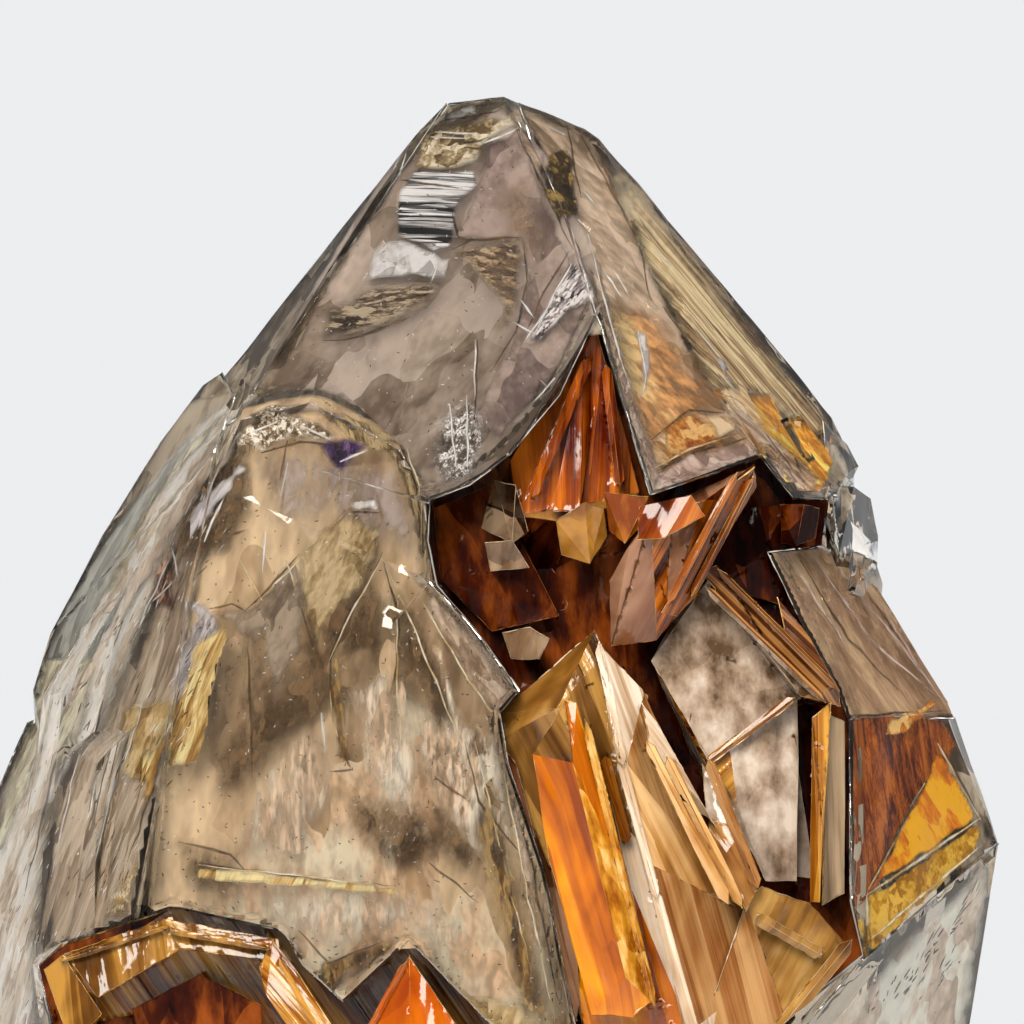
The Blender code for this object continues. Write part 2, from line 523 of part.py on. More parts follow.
def lower_blades():
    """The gold-rimmed frame and the pointed crystal of the lower hollow."""
    blades = {
        "frame_left": [
            (-23.4, -10.2, 22.8), (-22.4, -10.6, 23.6), (-20.4, -11.6, 20.6), (-22.0, -11.4, 19.0),
            (-21.4, -7.0, 22.6), (-20.6, -7.0, 20.0), (-22.8, -7.0, 21.4),
        ],
        "frame_slope": [
            (-22.4, -10.4, 23.6), (-16.9, -11.6, 25.5), (-16.2, -12.0, 24.0), (-20.6, -11.6, 21.4),
            (-21.6, -10.8, 22.0), (-17.0, -6.6, 24.8), (-21.4, -6.6, 22.6),
        ],
        "frame_top": [
            (-17.4, -11.6, 25.4), (-11.6, -13.0, 24.4), (-11.4, -13.4, 23.2), (-16.6, -12.4, 23.9),
            (-16.8, -6.6, 24.8), (-11.8, -6.6, 23.8),
        ],
        "frame_right": [
            (-11.9, -13.2, 24.4), (-10.7, -13.6, 22.9), (-8.4, -14.6, 19.4), (-9.4, -14.8, 17.4),
            (-12.2, -13.8, 21.6), (-12.6, -13.2, 23.0), (-10.8, -6.6, 22.4), (-9.4, -6.6, 18.0),
        ],
        "dark_heart": [
            (-19.0, -9.4, 20.8), (-15.6, -10.0, 22.6), (-12.4, -10.6, 21.0), (-12.2, -10.8, 17.0),
            (-17.6, -10.0, 16.0), (-15.4, -6.6, 20.6), (-14.0, -6.6, 16.4),
        ],
        "orange_point": [
            (-5.1, -16.6, 23.7), (-7.9, -15.4, 18.8), (-1.6, -17.6, 18.6), (-2.6, -17.4, 16.2),
            (-7.6, -15.6, 15.6), (-5.0, -18.0, 18.4), (-5.2, -7.2, 21.6), (-7.0, -7.0, 16.0),
            (-2.6, -7.2, 16.4),
        ],
    }
    slats = {
        "frame_line_left": ((-22.6, -11.0, 23.2), (-17.0, -12.2, 25.0), 0.36, 1.4),
        "frame_line_top": ((-17.2, -12.6, 24.8), (-11.9, -13.8, 23.9), 0.36, 1.4),
        "frame_line_right": ((-11.6, -14.0, 23.5), (-9.0, -15.2, 18.6), 0.36, 1.4),
        "point_rim": ((-5.2, -16.9, 23.4), (-8.0, -15.8, 18.2), 0.40, 2.0),
    }
    return [crystal(name, corners) for name, corners in blades.items()] + [
        slat(name, *sizes) for name, sizes in slats.items()
    ]


def make_lower_crust():
    """Makes the golden crust that lines the lower hollow."""
    crust = unite("lower_crust", [crust_floor("lower_floor", LOWER_HOLLOW, LOWER_BACK)] + lower_blades())
    room = outline_prism("lower_room", LOWER_HOLLOW, (LOWER_BACK[0] - GAP, LOWER_BACK[1], 0.0),
                         (HOLLOW_FRONT, 0.0, 0.0), inset=GAP)
    combine(crust, room, "INTERSECT")
    crust.data.materials.clear()
    crust.data.materials.append(finish("amber_quartz", *AMBER))
    return crust


clear_scene()
make_point()
make_main_crust()
make_lower_crust()
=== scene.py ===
"""Looks of the citrine crystal point: clear smoky quartz, its inclusions and golden crystals."""

import itertools
import logging
import math
from dataclasses import dataclass
from enum import Enum

import bmesh
import bpy
from mathutils import Matrix, Vector, noise
from mathutils.bvhtree import BVHTree


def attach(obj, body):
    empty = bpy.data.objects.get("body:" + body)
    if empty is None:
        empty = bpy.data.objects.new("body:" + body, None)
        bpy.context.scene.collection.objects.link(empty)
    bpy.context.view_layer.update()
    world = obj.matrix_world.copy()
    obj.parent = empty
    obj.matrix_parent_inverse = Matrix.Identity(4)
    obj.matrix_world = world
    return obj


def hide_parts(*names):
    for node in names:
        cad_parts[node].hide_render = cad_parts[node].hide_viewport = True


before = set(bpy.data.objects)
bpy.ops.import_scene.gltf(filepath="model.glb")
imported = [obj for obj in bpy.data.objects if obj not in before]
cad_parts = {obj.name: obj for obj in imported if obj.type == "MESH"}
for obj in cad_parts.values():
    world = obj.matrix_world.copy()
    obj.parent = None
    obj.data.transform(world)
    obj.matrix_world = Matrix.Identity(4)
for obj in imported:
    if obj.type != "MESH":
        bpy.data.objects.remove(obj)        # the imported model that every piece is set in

MM = 0.001
BODY = "root"
STREAK_MAP = "streak"        # UV map whose V runs along each golden crystal
FADE_VALUES = "rim"          # vertex values that fade the edge of a sheet
QUARTZ_IOR = 1.544
GRID_STEPS = 20              # steps of the front view's grid per millimetre
GRID_MIDDLE = 512
GRID_TOP = 71.2
NOISE_ROUGHNESS = 0.62
THIN = 0.08                  # depth under which a sheet is left out, in millimetres
SKIN = 0.12                  # depth to which a sheet near the surface is brought, in millimetres
NEAR = 0.5                   # distance outside from which it is still brought in, in millimetres
SAFE = 0.25                  # depth at which a sheet needs no shift, in millimetres
PER_SQUARE_METRE = 1e6       # square millimetres
NOISE_SEED = 1               # fixes the offsets of noise_vector, which differ each run without it
log = logging.getLogger("citrine_point")
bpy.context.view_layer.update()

Socket = str | int
Spot = tuple[float, float]
Colour = tuple[float, float, float]
Outline = tuple[Spot, ...]
Stops = tuple[tuple[float, Colour], ...]
Cell = tuple[int, int]


class Face(Enum):
    """Growth faces of the front: depth y = start + across * x + up * z, in millimetres."""

    LEFT = (-44.5, -0.364, 0.66)
    RIGHT = (-69.07, 0.70, 1.03)
    WALL = (-19.83, -0.311, 0.154)
    FLANK = (-47.0, 1.1235, 0.5356)
    PANEL = (-43.57, 1.30, 0.333)
    FOOT = (-31.06, 1.613, -0.364)
    RIM = (-43.8, -1.229, 0.383)
    SHOULDER = (-117.85, 2.04, 1.695)

    def shift(self, behind: float) -> Spot:
        """Works out how far the face's refraction moves what lies behind it.

        Args:
            behind: Distance behind the face along the view, in millimetres.

        Returns:
            Where a piece has to move, across and up, to be seen at its place.
        """
        _, across, up = self.value
        normal = Vector((across, -1.0, up)).normalized()
        slow = 1.0 / QUARTZ_IOR
        cosine = -normal.y
        bend = slow * cosine - math.sqrt(1.0 - slow * slow * (1.0 - cosine * cosine))
        ray = slow * Vector((0.0, 1.0, 0.0)) + bend * normal
        length = behind / (ray.y - across * ray.x - up * ray.z)
        return length * ray.x, length * ray.z

    def depth(self, x: float, z: float) -> float:
        """Gives the depth of the face at a front spot."""
        start, across, up = self.value
        return start + across * x + up * z


class Tree:
    """A material with its node tree and short ways to add nodes to it."""

    def __init__(self, name: str) -> None:
        """Starts a material that holds one Principled shader."""
        self.material = bpy.data.materials.new(name)
        self.material.use_nodes = True
        self.nodes = self.material.node_tree.nodes
        self.shader = self.nodes["Principled BSDF"]
        self.output = self.nodes["Material Output"]

    def add(self, kind: str) -> bpy.types.Node:
        """Adds a node of a kind."""
        return self.nodes.new(kind)

    def link(self, source: bpy.types.Node, out: Socket, target: bpy.types.Node,
             into: Socket) -> None:
        """Links two sockets by name or place."""
        self.material.node_tree.links.new(source.outputs[out], target.inputs[into])

    def leaning(self, scales: Colour, lean: float, seed: float) -> bpy.types.Node:
        """Adds Object coordinates whose upright leans in the front view.

        Args:
            scales: Pattern repeats per metre across, in depth and along the upright.
            lean: Lean of the upright to the right, in degrees.
            seed: Shift of the pattern.

        Returns:
            The Mapping node, whose output is Vector.
        """
        spot = self.add("ShaderNodeTexCoord")
        turn = self.add("ShaderNodeMapping")
        turn.vector_type = "TEXTURE"
        turn.inputs["Rotation"].default_value = (0.0, math.radians(lean), 0.0)
        self.link(spot, "Object", turn, "Vector")
        scale = self.add("ShaderNodeMapping")
        scale.inputs["Scale"].default_value = scales
        scale.inputs["Location"].default_value = (seed, 0.7 * seed, 1.3 * seed)
        self.link(turn, "Vector", scale, "Vector")
        return scale

    def streaks(self, scales: Colour, seed: float) -> bpy.types.Node:
        """Adds the piece's own streak map, whose V runs along each crystal.

        Args:
            scales: Pattern repeats per metre across and along, and an unused third.
            seed: Shift of the pattern.

        Returns:
            The Mapping node, whose output is Vector.
        """
        spot = self.add("ShaderNodeUVMap")
        spot.uv_map = STREAK_MAP
        scale = self.add("ShaderNodeMapping")
        scale.inputs["Scale"].default_value = scales
        scale.inputs["Location"].default_value = (seed, 0.7 * seed, 0.0)
        self.link(spot, "UV", scale, "Vector")
        return scale

    def noise(self, place: bpy.types.Node, detail: float, warp: float) -> bpy.types.Node:
        """Adds a noise texture.

        Args:
            place: Mapping node that gives its coordinates.
            detail: Number of finer layers.
            warp: Distortion of the pattern.

        Returns:
            The noise node, whose output is Fac.
        """
        texture = self.add("ShaderNodeTexNoise")
        texture.inputs["Scale"].default_value = 1.0
        texture.inputs["Detail"].default_value = detail
        texture.inputs["Roughness"].default_value = NOISE_ROUGHNESS
        texture.inputs["Distortion"].default_value = warp
        self.link(place, "Vector", texture, "Vector")
        return texture

    def shards(self, place: bpy.types.Node, bend: float) -> bpy.types.Node:
        """Adds a pattern of bent cells with sharp borders, each with a value of its own.

        Args:
            place: Mapping node that gives its coordinates.
            bend: How far the cells' borders stray, in cells.

        Returns:
            The node whose first output is the value.
        """
        wave = self.noise(place, 1.0, 0.0)
        stray = self.add("ShaderNodeVectorMath")
        stray.operation = "MULTIPLY_ADD"
        stray.inputs[1].default_value = (bend, bend, bend)
        self.link(wave, "Color", stray, 0)
        self.link(place, "Vector", stray, 2)
        cells = self.add("ShaderNodeTexVoronoi")
        cells.inputs["Scale"].default_value = 1.0
        self.link(stray, "Vector", cells, "Vector")
        value = self.add("ShaderNodeSeparateColor")
        self.link(cells, "Color", value, "Color")
        return value

    def mix(self, share: float, below: bpy.types.Node, above: bpy.types.Node) -> bpy.types.Node:
        """Mixes the first outputs of two nodes by a fixed share."""
        node = self.add("ShaderNodeMix")
        node.inputs[0].default_value = share
        self.link(below, 0, node, 2)
        self.link(above, 0, node, 3)
        return node

    def ramp(self, source: bpy.types.Node, stops: Stops) -> bpy.types.Node:
        """Adds a colour ramp over a node's first output.

        Args:
            source: Node whose value picks the colour.
            stops: Places and colours of the ramp.

        Returns:
            The ramp node, whose output is Color.
        """
        ramp = self.add("ShaderNodeValToRGB")
        elements = ramp.color_ramp.elements
        while len(elements) < len(stops):
            elements.new(0.5)
        for element, (place, colour) in zip(elements, stops):
            element.position = place
            element.color = (*colour, 1.0)
        self.link(source, 0, ramp, "Fac")
        return ramp

    def spread(self, source: bpy.types.Node, taken: Spot, given: Spot) -> bpy.types.Node:
        """Spreads a node's first output from one range over another.

        Args:
            source: Node whose value is spread.
            taken: Values that become the lowest and the highest result.
            given: The lowest and the highest result.

        Returns:
            The Map Range node, whose output is Result.
        """
        spread = self.add("ShaderNodeMapRange")
        for socket, value in zip(("From Min", "From Max", "To Min", "To Max"), taken + given):
            spread.inputs[socket].default_value = value
        self.link(source, 0, spread, "Value")
        return spread

    def bump(self, source: bpy.types.Node, strength: float, height: float) -> None:
        """Gives the shader a bump from a node's first output.

        Args:
            source: Node whose value is the height.
            strength: Strength of the bump.
            height: Height of the bump, in millimetres.
        """
        bump = self.add("ShaderNodeBump")
        bump.inputs["Strength"].default_value = strength
        bump.inputs["Distance"].default_value = height * MM
        self.link(source, 0, bump, "Height")
        self.link(bump, "Normal", self.shader, "Normal")


@dataclass(frozen=True)
class ClearFinish:
    """Clear quartz: plain transmission, with an absorption that tints it by its depth.

    Attributes:
        name: Name of the material.
        taken: Absorption colour of the inside.
        density: How strongly the inside absorbs, per metre.
        ripple: Strength of the fine growth ripples.
        roughness: Roughness of the faces.
        grain: Ripples per metre across, in depth and along the point.
    """

    name: str
    taken: Colour
    density: float
    ripple: float = 0.10
    roughness: float = 0.01
    grain: Colour = (900.0, 900.0, 140.0)

    def make(self) -> bpy.types.Material:
        """Builds the material.

        Returns:
            The new material.
        """
        tree = Tree(self.name)
        tree.shader.inputs["Base Color"].default_value = (1.0, 1.0, 1.0, 1.0)
        tree.shader.inputs["Transmission Weight"].default_value = 1.0
        tree.shader.inputs["IOR"].default_value = QUARTZ_IOR
        tree.shader.inputs["Roughness"].default_value = self.roughness
        inside = tree.add("ShaderNodeVolumeAbsorption")
        inside.inputs["Color"].default_value = (*self.taken, 1.0)
        inside.inputs["Density"].default_value = self.density
        tree.link(inside, "Volume", tree.output, "Volume")
        ripples = tree.noise(tree.leaning(self.grain, 0.0, 0.0), detail=1.0, warp=0.0)
        tree.bump(ripples, self.ripple, 0.2)
        return tree.material


@dataclass(frozen=True)
class VeilFinish:
    """A sheet inside the clear quartz: mostly a cloudy veil of tiny bubbles and healed cracks,
    while some finishes are painted shade and some are painted highlights.

    Attributes:
        name: Name of the material.
        dark: Colour of its thin, shadowed places.
        middle: Main colour.
        light: Colour of its dense, pale places.
        grain: Pattern repeats per metre across and along its streaks.
        lean: Lean of the streaks to the right, in degrees.
        least: Lowest opacity.
        most: Highest opacity.
        seed: Shift of the pattern.
        stops: Pattern values at which dark, middle and light are reached.
        crisp: Share of fine streaks in the colour.
        warp: Distortion of the pattern.
        broken: Share of sharp-edged shards in the colour.
    """

    name: str
    dark: Colour
    middle: Colour
    light: Colour
    grain: Spot = (160.0, 60.0)
    lean: float = 0.0
    least: float = 0.9
    most: float = 1.0
    seed: float = 0.0
    stops: Colour = (0.40, 0.49, 0.58)
    crisp: float = 0.35
    warp: float = 0.6
    broken: float = 0.20

    def make(self) -> bpy.types.Material:
        """Builds the material, or finds it if it is already there.

        Returns:
            The material.
        """
        if self.name in bpy.data.materials:
            return bpy.data.materials[self.name]
        tree = Tree(self.name)
        across, along = self.grain
        large, small, middle = (
            tree.leaning((k * across, k * across, k * along), self.lean, self.seed + shift)
            for k, shift in ((1.0, 0.0), (12.0, 4.0), (5.0, 2.0)))
        cloud = tree.noise(large, 4.0, self.warp)
        fine = tree.noise(small, 2.0, 0.0)
        shards = tree.shards(middle, 0.9)
        mixed = tree.mix(self.broken, tree.mix(self.crisp, cloud, fine), shards)
        ramp = tree.ramp(mixed, tuple(zip(self.stops, (self.dark, self.middle, self.light))))
        tree.link(ramp, "Color", tree.shader, "Base Color")
        tree.shader.inputs["Roughness"].default_value = 0.8
        tree.shader.inputs["Specular IOR Level"].default_value = 0.2
        opacity = tree.spread(fine, (0.38, 0.60), (self.least, self.most))
        rim = tree.add("ShaderNodeAttribute")
        rim.attribute_name = FADE_VALUES
        fade = tree.add("ShaderNodeMath")
        fade.operation = "MULTIPLY"
        tree.link(opacity, 0, fade, 0)
        tree.link(rim, "Fac", fade, 1)
        tree.link(fade, "Value", tree.shader, "Alpha")
        tree.material.use_transparent_shadow = False
        return tree.material


@dataclass(frozen=True)
class GoldFinish:
    """Iron-stained golden quartz with streaks along its length; the pale and yellow edge finishes
    made from it are painted highlights.

    Attributes:
        name: Name of the material.
        deep: Colour of its shadowed streaks.
        main: Main colour.
        glow: Colour of its bright streaks.
        grain: Pattern repeats per metre across and along its streaks.
        clear: How much light passes through it.
        seed: Shift of the pattern.
        stops: Pattern values at which deep, main and glow are reached.
        rough: Roughness of its faces.
        ridge: Strength of its growth ridges.
        gloss: Strength of its reflections.
        broken: Share of sharp-edged shards in the colour.
        cloudy: Share of soft clouds in the colour.
    """

    name: str
    deep: Colour
    main: Colour
    glow: Colour
    grain: Spot = (600.0, 60.0)
    clear: float = 0.15
    seed: float = 0.0
    stops: Colour = (0.39, 0.49, 0.61)
    rough: float = 0.10
    ridge: float = 0.40
    gloss: float = 0.34
    broken: float = 0.13
    cloudy: float = 0.5

    def make(self) -> bpy.types.Material:
        """Builds the material, or finds it if it is already there.

        Returns:
            The material.
        """
        if self.name in bpy.data.materials:
            return bpy.data.materials[self.name]
        tree = Tree(self.name)
        across, along = self.grain
        streak = tree.noise(tree.streaks((across, along, 1.0), self.seed), 4.0, 0.0)
        cloud = tree.noise(tree.leaning((180.0, 180.0, 120.0), 0.0, self.seed), 3.0, 0.5)
        shards = tree.shards(tree.streaks((0.6 * across, 0.9 * along, 1.0), self.seed + 5.0), 0.5)
        mixed = tree.mix(self.broken, tree.mix(self.cloudy, streak, cloud), shards)
        ramp = tree.ramp(mixed, tuple(zip(self.stops, (self.deep, self.main, self.glow))))
        tree.link(ramp, "Color", tree.shader, "Base Color")
        tree.shader.inputs["Roughness"].default_value = self.rough
        tree.shader.inputs["IOR"].default_value = QUARTZ_IOR
        tree.shader.inputs["Transmission Weight"].default_value = self.clear
        tree.shader.inputs["Specular IOR Level"].default_value = self.gloss
        ridge_place = tree.streaks((1.4 * across, 0.6 * along, 1.0), self.seed + 2.0)
        ridges = tree.noise(ridge_place, 2.0, 0.0)
        tree.bump(ridges, self.ridge, 0.12)
        return tree.material


def place_mesh(name: str, shape: bmesh.types.BMesh) -> bpy.types.Object:
    """Makes a scene object from a bmesh in metres, without its loose vertices.

    Args:
        name: Name of the piece.
        shape: The bmesh, which is freed.

    Returns:
        The new object.
    """
    loose = [vert for vert in shape.verts if not vert.link_faces]
    bmesh.ops.delete(shape, geom=loose, context="VERTS")
    mesh = bpy.data.meshes.new(name)
    shape.to_mesh(mesh)
    shape.free()
    piece = bpy.data.objects.new(name, mesh)
    bpy.context.scene.collection.objects.link(piece)
    return piece


def embed(piece: bpy.types.Object) -> bpy.types.Object:
    """Adds a piece to the clear point's body."""
    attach(piece, BODY)
    return piece


def trace(*places: float) -> Outline:
    """Turns places on the front view's grid, counted down from its top, into front spots.

    Args:
        places: Steps across and down, in turn.

    Returns:
        The spots in millimetres.
    """
    return tuple(((across - GRID_MIDDLE) / GRID_STEPS, GRID_TOP - down / GRID_STEPS)
                 for across, down in zip(places[::2], places[1::2]))


def inside(outline: Outline, x: float, z: float) -> float:
    """Measures how deep a front spot lies within an outline.

    Args:
        outline: Corners of the outline, in millimetres.
        x: Place across, in millimetres.
        z: Height, in millimetres.

    Returns:
        The distance to the outline, below zero outside it.
    """
    nearest = 1e9
    within = False
    for (x0, z0), (x1, z1) in zip(outline, outline[1:] + outline[:1]):
        dx, dz = x1 - x0, z1 - z0
        share = max(0.0, min(1.0, ((x - x0) * dx + (z - z0) * dz) / (dx * dx + dz * dz)))
        nearest = min(nearest, math.hypot(x - x0 - share * dx, z - z0 - share * dz))
        if (z0 > z) != (z1 > z) and x < x0 + dx * (z - z0) / dz:
            within = not within
    return nearest if within else -nearest


def whole_facets(node: str) -> bmesh.types.BMesh:
    """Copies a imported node's mesh, merges its loose triangles and joins its flat facets.

    Args:
        node: Name of the node.

    Returns:
        The copy, in metres.
    """
    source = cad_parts[node]
    shape = bmesh.new()
    shape.from_mesh(source.data)
    bmesh.ops.transform(shape, matrix=source.matrix_world, verts=shape.verts)
    bmesh.ops.remove_doubles(shape, verts=shape.verts, dist=0.002 * MM)
    flat = math.radians(0.4)
    bmesh.ops.dissolve_limit(shape, angle_limit=flat, verts=shape.verts, edges=shape.edges)
    return shape


def corners_of(i: int, k: int) -> tuple[Cell, ...]:
    """Gives the four corners of a sheet's cell, in turn."""
    return (i, k), (i + 1, k), (i + 1, k + 1), (i, k + 1)


class Inside:
    """Tells how deep a place lies inside the clear point.

    Attributes:
        tree: Search tree of the point's surface.
    """

    def __init__(self) -> None:
        """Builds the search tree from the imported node."""
        shape = whole_facets("crystal_point")
        bmesh.ops.triangulate(shape, faces=shape.faces)
        self.tree = BVHTree.FromBMesh(shape)
        shape.free()

    def depth(self, place: Vector) -> float:
        """Measures the distance to the surface, below zero outside, in millimetres."""
        distance = self.tree.find_nearest(place)[3]
        hits = 0
        start = place
        ahead = Vector((0.0113, -1.0, 0.0171)).normalized()
        while hits < 20:
            hit = self.tree.ray_cast(start, ahead)[0]
            if hit is None:
                break
            hits += 1
            start = hit + ahead * 1e-6
        return distance / MM if hits % 2 else -distance / MM

    def held(self, place: Vector, margin: float) -> Vector:
        """Brings a place near the surface to a margin below it, in millimetres."""
        spot, normal = self.tree.find_nearest(place)[:2]
        return spot - margin * MM * normal


HOST = Inside()


@dataclass
class Veil:
    """A rippled sheet that lies inside the point, behind one of its faces.

    Attributes:
        name: Name of the piece.
        face: Growth face that it follows.
        outline: Its outline as seen from the front, in millimetres.
        behind: How far it lies behind the face, in millimetres.
        finish: Its material.
        relief: Height of its ripples, in millimetres.
        wave: Width of its ripples, in millimetres.
        step: Width of its mesh cells, in millimetres.
        stretch: Length of its ripples along the finish's lean, in widths.
        fade: Width over which its edge fades, in millimetres.
        ragged: How far its edge strays from the outline, in millimetres.
    """

    name: str
    face: Face
    outline: Outline
    behind: float
    finish: VeilFinish
    relief: float = 0.4
    wave: float = 5.0
    step: float = 0.4
    stretch: float = 1.0
    fade: float = 0.6
    ragged: float = 0.2

    def place(self, x: float, z: float) -> tuple[Vector, float]:
        """Finds the sheet's place for a front spot; it rises where the point is thin.

        Args:
            x: Where it is seen, across.
            z: Where it is seen, up.

        Returns:
            The place in metres, and how deep it lies inside the point in millimetres.
        """
        place, buried = Vector(), -1.0
        turn = math.radians(self.finish.lean)
        along = (x * math.sin(turn) + z * math.cos(turn)) / self.stretch
        fold = Vector((x * math.cos(turn) - z * math.sin(turn), 3.0, along)) / self.wave
        ripple = noise.noise(fold) + 0.4 * noise.noise(2.7 * fold)
        shallow, deep, share = 0.1, 1.0, 1.0
        for _ in range(6):
            aside, above = self.face.shift(self.behind * share)
            spot = Vector((x + aside, 0.0, z + above))
            behind = (self.behind + self.relief * ripple) * share
            place = Vector((spot.x, self.face.depth(spot.x, spot.z) + behind, spot.z)) * MM
            buried = HOST.depth(place)
            if buried >= SAFE and share == 1.0:
                break
            if buried >= SAFE:
                shallow = share
            else:
                deep = share
            share = 0.5 * (shallow + deep)
        if -NEAR < buried < SKIN:
            place = HOST.held(place, SKIN)
            buried = HOST.depth(place)
        return place, buried

    def sheet(self) -> bpy.types.Object:
        """Builds the sheet with its fading edge.

        Returns:
            The sheet.
        """
        step = min(self.step, max(0.16, 0.7 * self.fade))
        xs = [x for x, _ in self.outline]
        zs = [z for _, z in self.outline]
        shape = bmesh.new()
        rim = shape.verts.layers.float.new(FADE_VALUES)
        points: dict[Cell, bmesh.types.BMVert] = {}
        across = int((max(xs) - min(xs)) / step) + 1
        up = int((max(zs) - min(zs)) / step) + 1
        cells = list(itertools.product(range(across + 1), range(up + 1)))
        for i, k in cells:
            x = min(xs) + i * step
            z = min(zs) + k * step
            deep = inside(self.outline, x, z)
            deep += self.ragged * (noise.noise(Vector((1.3 * x, 9.0, 1.3 * z))) - 0.3)
            if deep < -0.5 * step:
                continue
            place, buried = self.place(x, z)
            if buried < THIN:
                continue
            vert = shape.verts.new(place)
            vert[rim] = max(0.0, min(1.0, deep / self.fade))
            points[i, k] = vert
        for i, k in cells:
            corners = [points[spot] for spot in corners_of(i, k) if spot in points]
            if len(corners) > 2:
                shape.faces.new(corners).smooth = True
        piece = place_mesh(self.name, shape)
        piece.data.materials.append(self.finish.make())
        return piece

    def make(self) -> bpy.types.Object:
        """Builds the sheet as a piece of the point."""
        return embed(self.sheet())


@dataclass
class Root:
    """Milky layers low in the point, where it grew on its rock.

    Attributes:
        finish: Their material.
        levels: Their heights over the foot, in millimetres.
        step: Width of their mesh cells, in millimetres.
        across: Cells from the left to the right of the foot.
        away: Cells from the front to the back of the foot.
    """

    finish: VeilFinish
    levels: tuple[float, ...] = (1.0, 2.6, 4.6)
    step: float = 0.8
    across: Cell = (-36, 32)
    away: Cell = (-28, 30)

    def make(self) -> bpy.types.Object:
        """Builds the layers, each as wide as the point is at its height.

        Returns:
            The piece.
        """
        shape = bmesh.new()
        rim = shape.verts.layers.float.new(FADE_VALUES)
        for number, level in enumerate(self.levels):
            points: dict[Cell, bmesh.types.BMVert] = {}
            for i, k in itertools.product(range(*self.across), range(*self.away)):
                x, y = i * self.step, k * self.step
                lift = 0.8 * number * noise.noise(Vector((0.2 * x, 0.2 * y, 3.0 * number)))
                place = Vector((x, y, level + lift)) * MM
                buried = HOST.depth(place)
                if buried < 0.3:
                    continue
                points[i, k] = shape.verts.new(place)
                points[i, k][rim] = 1.0 - 0.3 * number
            for i, k in points:
                ring = [points.get(spot) for spot in corners_of(i, k)]
                if all(ring):
                    shape.faces.new(ring).smooth = True
        piece = place_mesh("milky_root", shape)
        piece.data.materials.append(self.finish.make())
        return embed(piece)


@dataclass
class Seams:
    """Thin healed cracks and bright edge lines inside the point, behind one of its faces; the white
    and cream lines among them are painted highlights.

    Attributes:
        name: Name of the piece.
        face: Growth face that they follow.
        behind: How far they lie behind the face, in millimetres.
        finish: Their material.
        lines: Their courses as seen from the front, in millimetres.
        width: Greatest width, in millimetres.
        stray: How far they stray from their course, in millimetres.
    """

    name: str
    face: Face
    behind: float
    finish: VeilFinish
    lines: tuple[Outline, ...]
    width: float = 0.14
    stray: float = 0.10

    def course(self, line: Outline) -> list[Vector]:
        """Walks a line in short steps, straying a little from it.

        Args:
            line: Corners of the line, in millimetres.

        Returns:
            Its places, with the share of the way as the third value.
        """
        spots = [Vector(spot) for spot in line]
        whole = sum((b - a).length for a, b in zip(spots, spots[1:]))
        walk: list[Vector] = []
        done = 0.0
        for start, end in zip(spots, spots[1:]):
            length = (end - start).length
            steps = max(1, int(length / 0.25))
            for step in range(steps):
                place = start.lerp(end, step / steps)
                stray = noise.noise_vector(Vector((0.9 * place.x, 3.0, 0.9 * place.y))) * self.stray
                share = (done + length * step / steps) / whole
                walk.append(Vector((place.x + stray.x, place.y + stray.z, share)))
            done += length
        walk.append(Vector((*line[-1], 1.0)))
        return walk

    def make(self) -> bpy.types.Object:
        """Builds the seams as narrow strips that fade at both sides.

        Returns:
            The piece.
        """
        aside, above = self.face.shift(self.behind)
        shape = bmesh.new()
        rim = shape.verts.layers.float.new(FADE_VALUES)
        for line in self.lines:
            walk = self.course(line)
            rows = []
            for place, ahead in zip(walk, walk[1:] + walk[-2:-1]):
                along = (Vector(ahead[:2]) - Vector(place[:2])).normalized()
                swell = math.sin(math.pi * min(0.96, max(0.04, place[2]))) ** 0.5
                swell *= 0.6 + 0.8 * abs(noise.noise(Vector((2.0 * place[0], 5.0, 2.0 * place[1]))))
                middle = Vector((place[0] + aside, 0.0, place[1] + above))
                middle.y = self.face.depth(middle.x, middle.z) + self.behind
                if HOST.depth(middle * MM) < 0.2:
                    rows.append([])
                    continue
                row = []
                for side in (-1, 0, 1):
                    x = place[0] + aside - side * along.y * 0.5 * self.width * swell
                    z = place[1] + above + side * along.x * 0.5 * self.width * swell
                    y = self.face.depth(x, z) + self.behind
                    vert = shape.verts.new((x * MM, y * MM, z * MM))
                    vert[rim] = 1.0 if side == 0 else 0.25
                    row.append(vert)
                rows.append(row)
            for low, high in zip(rows, rows[1:]):
                if not low or not high:
                    continue
                shape.faces.new((low[0], low[1], high[1], high[0]))
                shape.faces.new((low[1], low[2], high[2], high[1]))
        piece = place_mesh(self.name, shape)
        piece.data.materials.append(self.finish.make())
        return embed(piece)


